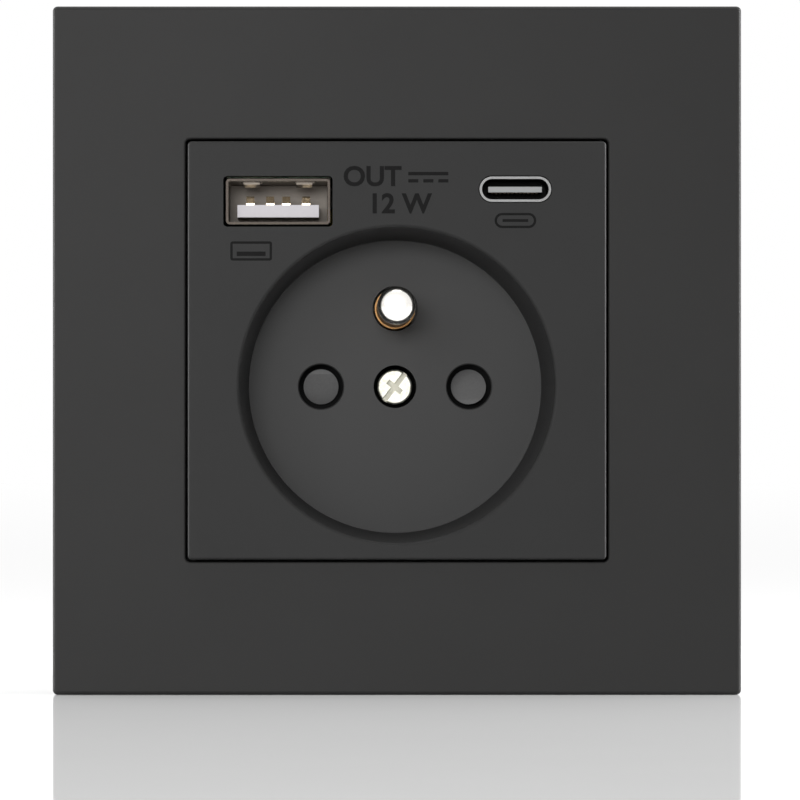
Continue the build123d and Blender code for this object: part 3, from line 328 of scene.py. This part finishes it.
BACK_MARK_SIZE = 3.2 * MM
BACK_MARK_RISE = 5.4 * MM
EARTH_STROKE = 0.32 * MM
EARTH_STEM = 1.3 * MM
EARTH_BARS = ((2.8 * MM, 0.0), (1.9 * MM, -0.7 * MM), (1.0 * MM, -1.4 * MM))
pale_ink = moulded("pale_ink", tint(0.62), roughness=0.6, grain=0.15 * MM, relief=0.2)
housing_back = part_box("rear_housing")[1].y
terminal_low, terminal_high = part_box("live_terminal")
wire_x = (terminal_low.x + terminal_high.x) / 2
wire_z = (terminal_low.z + terminal_high.z) / 2
earth_low, earth_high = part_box("earth_terminal")
earth_z = (earth_low.z + earth_high.z) / 2
for letter, x in (("L", wire_x), ("N", -wire_x)):
    place = on_back(x, housing_back, wire_z + BACK_MARK_RISE)
    lettering = flat_text(letter, BACK_MARK_SIZE)
    printed(f"wire_mark_{letter}", lettering, place, pale_ink)
earth_sign = [bar(width, EARTH_STROKE, y=rise) for width, rise in EARTH_BARS]
earth_sign.append(bar(EARTH_STROKE, EARTH_STEM, y=EARTH_STEM / 2))
earth_place = on_back(0, housing_back, earth_z + BACK_MARK_RISE)
printed("wire_mark_earth", joined(*earth_sign), earth_place, pale_ink)

# Terminals and contacts: drawn brass blocks with steel clamping screws, bronze sleeves for the
# plug's pins and a brass strap to the earth pin. All are pushed into pockets of the housing.
BRASS = (0.76, 0.58, 0.27, 1.0)
BRONZE = (0.74, 0.50, 0.27, 1.0)
brass = metal("terminal_brass", BRASS, roughness=0.32, grain=0.1 * MM, spread=0.08)
brass.dress("live_terminal", "neutral_terminal", "earth_terminal", "earth_strap")
bronze = metal("contact_bronze", BRONZE, roughness=0.3, grain=0.12 * MM, spread=0.08)
bronze.dress("live_contact", "neutral_contact")
plated.dress("terminal_screws")

# Earth pin: turned brass with a bright nickel tip that meets the plug first. The plating ends
# short of the flange that holds the pin, so its foot shows browned brass.
NICKEL = (0.93, 0.91, 0.86, 1.0)
BROWNED = (0.30, 0.17, 0.07, 1.0)
NICKEL_FADES, NICKEL_ENDS = 1.0 * MM, 4.0 * MM
TURNING_GRAIN = 0.12 * MM
TURNING_STRETCH = (0.2, 1.0, 0.2)
pin = Finish("earth_nickel")
pin_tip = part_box("earth_pin")[0].y
foot = pin.between(pin.along("Y"), pin_tip + NICKEL_FADES, pin_tip + NICKEL_ENDS)
rings = pin.noise(TURNING_GRAIN, vector=pin.stretched(TURNING_STRETCH))
pin.shade({
    "Metallic": 1.0,
    "Base Color": pin.blend(foot, NICKEL, BROWNED),
    "Roughness": 0.16 + 0.14 * rings + 0.25 * foot,
    "Normal": pin.relief(rings, strength=0.12, depth=SCRATCH_DEPTH),
})
pin.dress("earth_pin")

# Contact carrier: a pale grey nylon plate that keeps the contacts apart and holds the nut. Four
# thread-forming screws fix it on the posts of the housing.
CARRIER_GREY = (0.33, 0.33, 0.32, 1.0)
carrier = moulded("carrier_grey", CARRIER_GREY, roughness=0.5, grain=0.3 * MM, relief=0.25)
carrier.dress("contact_carrier")
plated.dress("carrier_screws", "screw_nut")

# Charging board: glass epoxy under green solder mask, with tracks and a bare cut edge. It slides
# into rails of the housing, and the ports and the parts of the charger are soldered to it.
MASK = (0.02, 0.13, 0.06, 1.0)
TRACK = (0.04, 0.21, 0.10, 1.0)
EPOXY = (0.55, 0.50, 0.30, 1.0)
TRACK_PITCH = 9.0 * MM
TRACK_DEPTH = 0.03 * MM
WEAVE_GRAIN = 0.4 * MM
MASK_SKIN = 0.05 * MM
board = Finish("board_green")
tracks = board.node(
    "ShaderNodeTexBrick",
    {"offset": 0.37, "squash": 1.4},
    {"Vector": board.place(), "Scale": 1 / TRACK_PITCH, "Mortar Size": 0.03},
    "Fac",
)
board_low, board_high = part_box("usb_board")
level = board.along("Z")
edge = (level > board_low.z + MASK_SKIN) * (level < board_high.z - MASK_SKIN)
weave = board.noise(WEAVE_GRAIN, detail=2.0)
board.shade({
    "Base Color": board.blend(edge, board.blend(tracks, MASK, TRACK), EPOXY),
    "Roughness": 0.28 + 0.25 * edge + 0.12 * weave,
    "Normal": board.relief(tracks + 0.3 * weave, strength=0.25, depth=TRACK_DEPTH),
})
board.dress("usb_board")

# Transformer: two ferrite halves round a moulded bobbin, wound with copper under yellow tape.
# It lies on its side under the board.
FERRITE = (0.035, 0.033, 0.036, 1.0)
TAPE_DARK = (0.62, 0.42, 0.03, 1.0)
TAPE_LIGHT = (0.80, 0.60, 0.07, 1.0)
TAPE_LAYER = 0.5 * MM
TAPE_STRETCH = (0.15, 0.15, 1.0)
TAPE_DEPTH = 0.05 * MM
ferrite = moulded("ferrite", FERRITE, roughness=0.5, grain=0.2 * MM, relief=0.5, mottle=0.25)
ferrite.dress("transformer_core")
bobbin = moulded("bobbin_black", tint(0.02), roughness=0.42, grain=0.3 * MM, relief=0.2)
bobbin.dress("transformer_bobbin")
tape = Finish("winding_tape")
layers = tape.noise(TAPE_LAYER, detail=2.0, vector=tape.stretched(TAPE_STRETCH))
tape.shade({
    "Base Color": tape.blend(layers, TAPE_DARK, TAPE_LIGHT),
    "Roughness": 0.25 + 0.2 * layers,
    "Normal": tape.relief(layers, strength=0.4, depth=TAPE_DEPTH),
})
tape.dress("transformer_winding")

# Capacitors: aluminium cans in shrunk sleeves, soldered to lie along the board. A pale stripe
# runs down the negative side, and the shrunk end is duller. The sleeve and stripe are painted
# lighter in a noise pattern as painted sheen.
SLEEVE_NAVY = (0.015, 0.02, 0.05, 1.0)
SLEEVE_PAINTED_SHEEN = (0.02, 0.028, 0.065, 1.0)
STRIPE_GREY = tint(0.55)
STRIPE_PAINTED_SHEEN = tint(0.62)
STRIPE_HEIGHT = 1.0 * MM
SHRUNK_STARTS, SHRUNK_FULL = 0.35 * MM, 0.05 * MM
WRINKLE_GRAIN = 0.7 * MM
WRINKLE_DEPTH = 0.04 * MM
can = Finish("can_sleeve")
can_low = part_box("input_capacitor")[0]
stripe = can.along("Z") < can_low.z + STRIPE_HEIGHT
shrunk = can.between(can.along("Y"), can_low.y + SHRUNK_STARTS, can_low.y + SHRUNK_FULL)
wrinkle_and_sheen = can.noise(WRINKLE_GRAIN, detail=2.0)
plain_sleeve = can.blend(stripe, SLEEVE_NAVY, STRIPE_GREY)
# Painted sheen: a lighter copy of the sleeve and stripe, mixed in by the same noise that bumps
# them.
painted_sheen_sleeve = can.blend(stripe, SLEEVE_PAINTED_SHEEN, STRIPE_PAINTED_SHEEN)
can.shade({
    "Base Color": can.blend(wrinkle_and_sheen, plain_sleeve, painted_sheen_sleeve),
    "Roughness": 0.22 + 0.15 * wrinkle_and_sheen + 0.1 * shrunk,
    "Normal": can.relief(wrinkle_and_sheen, strength=0.25, depth=WRINKLE_DEPTH),
})
can.dress("input_capacitor", "output_capacitor")

# Chips: the bridge rectifier and the controller, moulded in black epoxy and soldered under the
# front of the board.
epoxy = moulded("chip_epoxy", tint(0.018), roughness=0.62, grain=0.12 * MM, relief=0.5)
epoxy.dress("bridge_rectifier", "controller_chip")

# Feed wires: stranded copper in a brown and a blue sleeve. They rise straight from the mains
# terminals into the board, where they are soldered.
WIRE_BROWN = (0.15, 0.06, 0.025, 1.0)
WIRE_BLUE = (0.03, 0.09, 0.33, 1.0)
for name, colour in (("live_supply_wire", WIRE_BROWN), ("neutral_supply_wire", WIRE_BLUE)):
    sleeve = moulded(name + "_sleeve", colour, roughness=0.38, grain=0.35 * MM, relief=0.2)
    sleeve.dress(name)

# Rectangular port: a folded nickel-plated shell round a pale nylon tongue with four gilt springs,
# soldered to the board. The shell is painted dark on its lip and brown-grey further in, as painted
# reflection, and the tongue is painted darker towards its back as painted shade.
LIP = 0.05 * MM
ROLL_GRAIN = 0.1 * MM
ROLL_STRETCH = (1.0, 0.15, 1.0)


def sheet(name, node, lip_colour, painted_inside_colour):
    """Rolled and plated sheet, painted another colour a little behind its lip as painted light."""
    finish = Finish(name)
    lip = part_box(node)[0].y
    roll = finish.noise(ROLL_GRAIN, detail=4.0, vector=finish.stretched(ROLL_STRETCH))
    # From a little behind the lip the colour is painted light: painted reflection in the
    # rectangular shell, painted shade in the oval tube.
    inside = finish.between(finish.along("Y"), lip + LIP, lip + 3 * LIP)
    rolled = finish.blend(roll, scaled(lip_colour, 0.85), scaled(lip_colour, 1.1))
    finish.shade({
        "Metallic": 1.0,
        "Base Color": finish.blend(inside, rolled, painted_inside_colour),
        "Roughness": 0.34 + 0.18 * roll + 0.1 * inside,
        "Normal": finish.relief(roll, strength=0.12, depth=SCRATCH_DEPTH),
    })
    finish.dress(node)


NYLON_GRAIN = 0.3 * MM


def insulator(name, node, nose, heel_shade, nose_depth, specular):
    """Moulded nylon with a pale nose, painted darker further back as painted shade."""
    finish = Finish(name)
    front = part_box(node)[0].y
    # The back of the tongue is painted dark from a little behind the nose, as painted shade.
    depth = finish.between(finish.along("Y"), front + nose_depth, front + 3 * nose_depth)
    grain = finish.noise(NYLON_GRAIN, detail=2.0)
    finish.shade({
        "Base Color": finish.blend(depth, nose, heel_shade),
        "Roughness": 0.38 + 0.1 * grain,
        "Specular IOR Level": specular,
        "Normal": finish.relief(grain, strength=0.15, depth=GRAIN_DEPTH),
    })
    finish.dress(node)


# Painted reflection: the shell's lip and the sheet further in take colours that stand for its
# reflections.
SHELL_LIP_PAINTED_REFLECTION = (0.050, 0.043, 0.037, 1.0)
SHELL_INSIDE_PAINTED_REFLECTION = (0.20, 0.175, 0.15, 1.0)
TONGUE_PALE = (0.84, 0.81, 0.85, 1.0)
# Painted shade on the back of the white tongue.
TONGUE_PAINTED_SHADE = (0.32, 0.28, 0.24, 1.0)
GILT = (0.62, 0.54, 0.40, 1.0)
sheet("port_steel", "usb_a_shell", SHELL_LIP_PAINTED_REFLECTION, SHELL_INSIDE_PAINTED_REFLECTION)
insulator(
    "insulator_white", "usb_a_insulator", TONGUE_PALE, TONGUE_PAINTED_SHADE,
    nose_depth=0.4 * MM, specular=0.3,
)
gilt = metal("contact_gilt", GILT, roughness=0.2, grain=0.06 * MM, spread=0.06)
gilt.dress("usb_a_contacts")

# Oval port: a drawn steel tube round a thin grey tongue, soldered to the board. A row of flat
# contacts lies on each face of the tongue. The tube behind its lip, the back of the tongue and the
# contacts are painted near black as painted shade.
TUBE_LIP = tint(0.15)
# Painted shade in the tube behind its lip.
TUBE_INSIDE_PAINTED_SHADE = tint(0.012)
TONGUE_GREY = (0.52, 0.53, 0.53, 1.0)
# Painted shade on the back of the grey tongue.
TONGUE_HEEL_PAINTED_SHADE = tint(0.003)
# The contacts' gilt is painted near black as painted shade.
GOLD_PAINTED_SHADE = (0.05, 0.04, 0.03, 1.0)
sheet("port_tube", "usb_c_shell", TUBE_LIP, TUBE_INSIDE_PAINTED_SHADE)
shaded_gilt = metal("contact_painted_shade", GOLD_PAINTED_SHADE, roughness=0.42, grain=0.06 * MM, spread=0.06)
shaded_gilt.dress("usb_c_contacts")
insulator(
    "insulator_grey", "usb_c_insulator", TONGUE_GREY, TONGUE_HEEL_PAINTED_SHADE,
    nose_depth=0.2 * MM, specular=0.05,
)

# Shutter: a black nylon rocker that turns on the cover's boss and closes the pin holes. Its pads
# lie deeper than the studs that the plug's pins press. The studs are painted lighter grey as
# painted reflection, and the pads are painted near black as painted shade.
# Painted reflection on the studs, in two greys mixed by noise.
STUD_PAINTED_SHEEN_DIM = tint(0.14)
STUD_PAINTED_SHEEN_BRIGHT = tint(0.18)
PAD_PAINTED_SHADE = tint(0.004)
STUD_DEPTH, PAD_DEPTH = 1.25 * MM, 1.5 * MM
WEAR_AND_SHEEN_GRAIN = 0.25 * MM
shutter = Finish("shutter_black")
shutter_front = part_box("shutter")[0].y
# Deeper than the studs the colour turns near black: painted shade on the pads.
pad = shutter.between(shutter.along("Y"), shutter_front + STUD_DEPTH, shutter_front + PAD_DEPTH)
wear_and_sheen = shutter.noise(WEAR_AND_SHEEN_GRAIN, detail=2.0)
# The studs are painted lighter grey as painted reflection; the same noise roughens and bumps them.
stud_sheen = shutter.blend(wear_and_sheen, STUD_PAINTED_SHEEN_DIM, STUD_PAINTED_SHEEN_BRIGHT)
shutter.shade({
    "Base Color": shutter.blend(pad, stud_sheen, PAD_PAINTED_SHADE),
    "Roughness": 0.38 + 0.1 * wear_and_sheen + 0.4 * pad,
    "Specular IOR Level": 0.2,
    "Normal": shutter.relief(wear_and_sheen, strength=0.15, depth=GRAIN_DEPTH),
})
shutter.dress("shutter")

# Torsion spring: a coil of steel wire round the boss. Its back leg leans on a peg of the carrier
# and its front leg on a peg of the shutter, so the coil winds up as the shutter turns.
SPRING_STEEL = (0.55, 0.55, 0.55, 1.0)
spring = metal("spring_steel", SPRING_STEEL, roughness=0.3, grain=0.06 * MM)
wire = bmesh.new()
wire.from_mesh(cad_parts["shutter_spring"].data)
bmesh.ops.remove_doubles(wire, verts=wire.verts, dist=WELD)
coil = finished("torsion_spring", wire, spring)
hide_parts("shutter_spring")
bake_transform(coil)

# Outer frame: a broad square moulding in black polycarbonate with a fine matt grain. The cover's
# skirt presses its ledge on the wall.
FRAME_BLACK = tint(0.030, warm=0.01)
outer = moulded(
    "frame_black", FRAME_BLACK, roughness=0.44, grain=0.16 * MM, relief=0.22, specular=0.12
)
outer.dress("outer_frame")

# Cover: face, skirt and plug recess in one moulding of black polycarbonate, which the centre
# screw holds. The floor of the recess is polished a little finer than the face, and is painted a
# lighter grey as painted light. The pin holes are painted near black below the floor as painted
# shade.
COVER_BLACK = tint(0.031)
# Painted light: the floor of the recess is painted lighter than the face.
FLOOR_PAINTED_LIGHT = tint(0.056)
# Painted shade in the pin holes.
HOLE_PAINTED_SHADE = tint(0.002)
COVER_GRAIN = 0.16 * MM
COVER_CLOUD = 15 * MM
RECESS_DEPTH = 15 * MM
POLISH_STARTS, POLISH_FULL = -0.9 * MM, -0.2 * MM
HOLE_STARTS, HOLE_FULL = 0.05 * MM, 0.25 * MM
cover = Finish("cover_black")
cover_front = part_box("socket_cover")[0].y
floor_depth = cover_front + RECESS_DEPTH
depth = cover.along("Y")
polish_and_painted_light = cover.between(depth, floor_depth + POLISH_STARTS, floor_depth + POLISH_FULL)
# Below the floor, the walls of the pin holes are painted near black as painted shade.
hole_shade = cover.between(depth, floor_depth + HOLE_STARTS, floor_depth + HOLE_FULL)
cover_grain = cover.noise(COVER_GRAIN, detail=2.0)
cloud = cover.noise(COVER_CLOUD, detail=2.0)
face_black = cover.blend(cloud, scaled(COVER_BLACK, 0.92), scaled(COVER_BLACK, 1.08))
# The floor's lighter colour is painted light; the lower roughness there is real.
recess_painted_light = cover.blend(polish_and_painted_light, face_black, FLOOR_PAINTED_LIGHT)
cover.shade({
    "Base Color": cover.blend(hole_shade, recess_painted_light, HOLE_PAINTED_SHADE),
    "Roughness": 0.40 + 0.12 * cover_grain - 0.12 * polish_and_painted_light + 0.6 * hole_shade,
    "Specular IOR Level": 0.12,
    "Normal": cover.relief(cover_grain, strength=0.2, depth=GRAIN_DEPTH),
})
cover.dress("socket_cover")

# Centre screw: a bright plated steel machine screw whose slotted head sits down in the cover's
# boss. It turns into the nut in the carrier and so clamps the cover and the frame.
SCREW_BRIGHT = (0.90, 0.89, 0.80, 1.0)
SCREW_DULL = (0.58, 0.57, 0.48, 1.0)
# Painted shade in the slot.
SLOT_PAINTED_SHADE = (0.40, 0.39, 0.33, 1.0)
SLOT_STARTS, SLOT_FULL = 0.1 * MM, 0.7 * MM
SMEAR_GRAIN = 0.45 * MM
SMEAR_DEPTH = 0.03 * MM
SMEAR_DULL, SMEAR_BRIGHT = 0.35, 0.65
screw = Finish("centre_screw_plating")
head_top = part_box("centre_screw")[0].y
# The slot is painted a darker grey with depth, as painted shade.
slot_shade = screw.between(screw.along("Y"), head_top + SLOT_STARTS, head_top + SLOT_FULL)
smear = screw.noise(SMEAR_GRAIN, detail=4.0)
plating = screw.blend(
    screw.between(smear, SMEAR_DULL, SMEAR_BRIGHT), SCREW_DULL, SCREW_BRIGHT
)
screw.shade({
    "Metallic": 1.0,
    "Base Color": screw.blend(slot_shade, plating, SLOT_PAINTED_SHADE),
    "Roughness": 0.42 + 0.2 * smear,
    "Normal": screw.relief(smear, strength=0.3, depth=SMEAR_DEPTH),
})
screw.dress("centre_screw")

# Marks on the cover: a word and a number with the direct-current sign between the ports, and the
# outline of each port's mouth below it, pad-printed in ink a little blacker than the moulding.
RATING_X = 0.3 * MM
RATING_Z = 19.9 * MM
RATING_SIZE = 3.4 * MM
RATING_ROW = 3.4 * MM
WORD_X = -3.4 * MM
DC_X = 3.6 * MM
DC_WIDTH = 5.0 * MM
DC_DASH = 1.25 * MM
DC_STROKE = 0.42 * MM
DC_SPACING = 0.9 * MM
SIGN_STROKE = 0.3 * MM
SIGN_CORNER_STEPS = 6
LEFT_SIGN_X = -18.2 * MM
LEFT_SIGN_Z = 12.4 * MM
RIGHT_SIGN_Z = 16.2 * MM


def on_front(x, z):
    """The place of a mark on the cover's face, read from the room."""
    turn = Matrix(((1, 0, 0), (0, 0, -1), (0, 1, 0))).to_4x4()
    return Matrix.Translation((x, cover_front, z)) @ turn


def port_outline(width, height, corner):
    """The rounded outline of a port's mouth as a flat printed ring."""
    made = bmesh.new()
    x, y = width / 2, height / 2
    corners = ((-x, -y, 0), (x, -y, 0), (x, y, 0), (-x, y, 0))
    made.faces.new([made.verts.new(point) for point in corners])
    bmesh.ops.bevel(
        made, geom=made.verts[:], offset=corner, affect="VERTICES",
        segments=SIGN_CORNER_STEPS, profile=0.5, material=-1,
    )
    ring = bmesh.ops.inset_individual(
        made, faces=made.faces[:], thickness=SIGN_STROKE, use_even_offset=True
    )
    inner = [face for face in made.faces if face not in ring["faces"]]
    bmesh.ops.delete(made, geom=inner, context="FACES_ONLY")
    top = bmesh.ops.extrude_face_region(made, geom=made.faces[:])["geom"]
    lifted = [item for item in top if isinstance(item, bmesh.types.BMVert)]
    bmesh.ops.translate(made, vec=(0, 0, MARK_THICK / 2), verts=lifted)
    return made


dark_ink = moulded(
    "dark_ink", tint(0.003), roughness=0.5, grain=0.2 * MM, relief=0.1, specular=0.08
)
word = flat_text("OUT", RATING_SIZE)
bmesh.ops.translate(word, vec=(WORD_X, RATING_ROW / 2, 0), verts=word.verts)
number = flat_text("12 W", RATING_SIZE)
bmesh.ops.translate(number, vec=(0, -RATING_ROW / 2, 0), verts=number.verts)
dc_sign = [bar(DC_WIDTH, DC_STROKE, DC_X, RATING_ROW / 2 + DC_SPACING / 2)]
for step in (-1, 0, 1):
    dash_x = DC_X + step * (DC_WIDTH - DC_DASH) / 2
    dc_sign.append(bar(DC_DASH, DC_STROKE, dash_x, RATING_ROW / 2 - DC_SPACING / 2))
rating = joined(word, number, *dc_sign)
printed("rating_mark", rating, on_front(RATING_X, RATING_Z), dark_ink)
left_sign = joined(
    port_outline(width=5.2 * MM, height=2.4 * MM, corner=0.3 * MM),
    bar(width=3.6 * MM, height=0.55 * MM, y=-0.35 * MM),
)
left_place = on_front(LEFT_SIGN_X, LEFT_SIGN_Z)
printed("left_port_sign", left_sign, left_place, dark_ink)
right_sign = joined(
    port_outline(width=5.2 * MM, height=1.9 * MM, corner=0.94 * MM),
    bar(width=3.2 * MM, height=0.35 * MM),
)
right_low, right_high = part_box("usb_c_shell")
right_place = on_front((right_low.x + right_high.x) / 2, RIGHT_SIGN_Z)
printed("right_port_sign", right_sign, right_place, dark_ink)

# Floor: a plain table top in glossy white laminate, on which the object stands. It mirrors the
# frame only at a flat angle.
FLOOR_SIZE = 6.0
FLOOR_WHITE = (0.93, 0.93, 0.93, 1.0)
SPECK_GRAIN = 20 * MM
table = Finish("floor_white")
table.shade({
    "Base Color": table.blend(
        table.noise(SPECK_GRAIN), FLOOR_WHITE, scaled(FLOOR_WHITE, 1.02)
    ),
    "Roughness": 0.02,
    "IOR": 1.3,
})
ground = bmesh.new()
bmesh.ops.create_grid(ground, x_segments=1, y_segments=1, size=FLOOR_SIZE / 2)
bmesh.ops.translate(ground, vec=(0, 0, cad_low.z), verts=ground.verts)
floor = finished("floor", ground, table)
floor.visible_diffuse = False


# Studio light: an even white room, a soft lamp by the camera, a closer one on the left, a strip
# on each side that picks out the edges, and daylight from straight above that whitens the table.
class Room(Finish):
    """The white room round the object: a world shader that is wired as a finish is."""

    def __init__(self, name):
        self.world = bpy.data.worlds.new(name)
        self.world.use_nodes = True
        self.tree = self.world.node_tree
        self.shader = self.tree.nodes["Background"]

    def ray(self, kind):
        """1 for a ray of this kind and 0 for another."""
        return self.node("ShaderNodeLightPath", {}, {}, kind)


ROOM_WHITE = (1.0, 1.0, 1.0, 1.0)
ROOM_SEEN = 1.0
ROOM_LIGHT = 0.3
room = Room("studio")
reflected = room.ray("Is Glossy Ray") + room.ray("Is Transmission Ray")
seen = room.ray("Is Camera Ray") + reflected
room.shade({
    "Color": ROOM_WHITE,
    "Strength": room.node(
        "ShaderNodeMapRange", {}, {"Value": seen, "To Min": ROOM_LIGHT, "To Max": ROOM_SEEN}
    ),
})
scene.world = room.world


def soft_light(name, place, size, power, target=(0, 0, 0)):
    """A rectangular lamp that looks at a point."""
    lamp = bpy.data.lights.new(name, "AREA")
    lamp.shape = "RECTANGLE"
    lamp.size, lamp.size_y = size
    lamp.energy = power
    holder = bpy.data.objects.new(name, lamp)
    holder.location = place
    holder.rotation_euler = (Vector(target) - Vector(place)).to_track_quat("-Z", "Y").to_euler()
    scene.collection.objects.link(holder)


STRIP_Y = -0.005
STRIP_TARGET = (0, STRIP_Y, 0)
STRIP_WIDTH = 0.008
DAYLIGHT_POWER = 1.35
DAYLIGHT_SPREAD = 0.7
soft_light("front_light", place=(-0.10, -0.95, 0.12), size=(0.3, 0.2), power=2.6)
soft_light("left_light", place=(-0.18, -0.34, 0.10), size=(0.2, 0.2), power=0.3)
soft_light(
    "right_strip", place=(0.40, STRIP_Y, 0.06), size=(STRIP_WIDTH, 0.35), power=4.5,
    target=STRIP_TARGET,
)
soft_light(
    "left_strip", place=(-0.40, STRIP_Y, 0.0), size=(STRIP_WIDTH, 0.25), power=3.0,
    target=STRIP_TARGET,
)
daylight = bpy.data.lights.new("daylight", "SUN")
daylight.energy = DAYLIGHT_POWER
daylight.angle = DAYLIGHT_SPREAD
scene.collection.objects.link(bpy.data.objects.new("daylight", daylight))

# Camera: square to the wall, a little low and to the left of the frame's middle, with the lens
# shifted to keep the frame where the photograph has it.
IMAGE = 800
PIXELS_PER_MM = 8.01
FRAME_MIDDLE = (397.0, 350.5)
CAMERA_X = -9.0 * MM
CAMERA_Z = -12.0 * MM
CAMERA_DISTANCE = 515 * MM
SENSOR = 36.0
pixel = MM / PIXELS_PER_MM
optics = bpy.data.cameras.new("camera")
optics.sensor_width = SENSOR
optics.lens = SENSOR * CAMERA_DISTANCE / (IMAGE * pixel)
optics.shift_x = (IMAGE / 2 - CAMERA_X / pixel - FRAME_MIDDLE[0]) / IMAGE
optics.shift_y = (FRAME_MIDDLE[1] - IMAGE / 2 - CAMERA_Z / pixel) / IMAGE
optics.clip_start = 0.01
optics.clip_end = 20.0
camera = bpy.data.objects.new("camera", optics)
frame_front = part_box("outer_frame")[0].y
camera.location = (CAMERA_X, frame_front - CAMERA_DISTANCE, CAMERA_Z)
camera.rotation_euler = (radians(90), 0, 0)
scene.collection.objects.link(camera)
scene.camera = camera
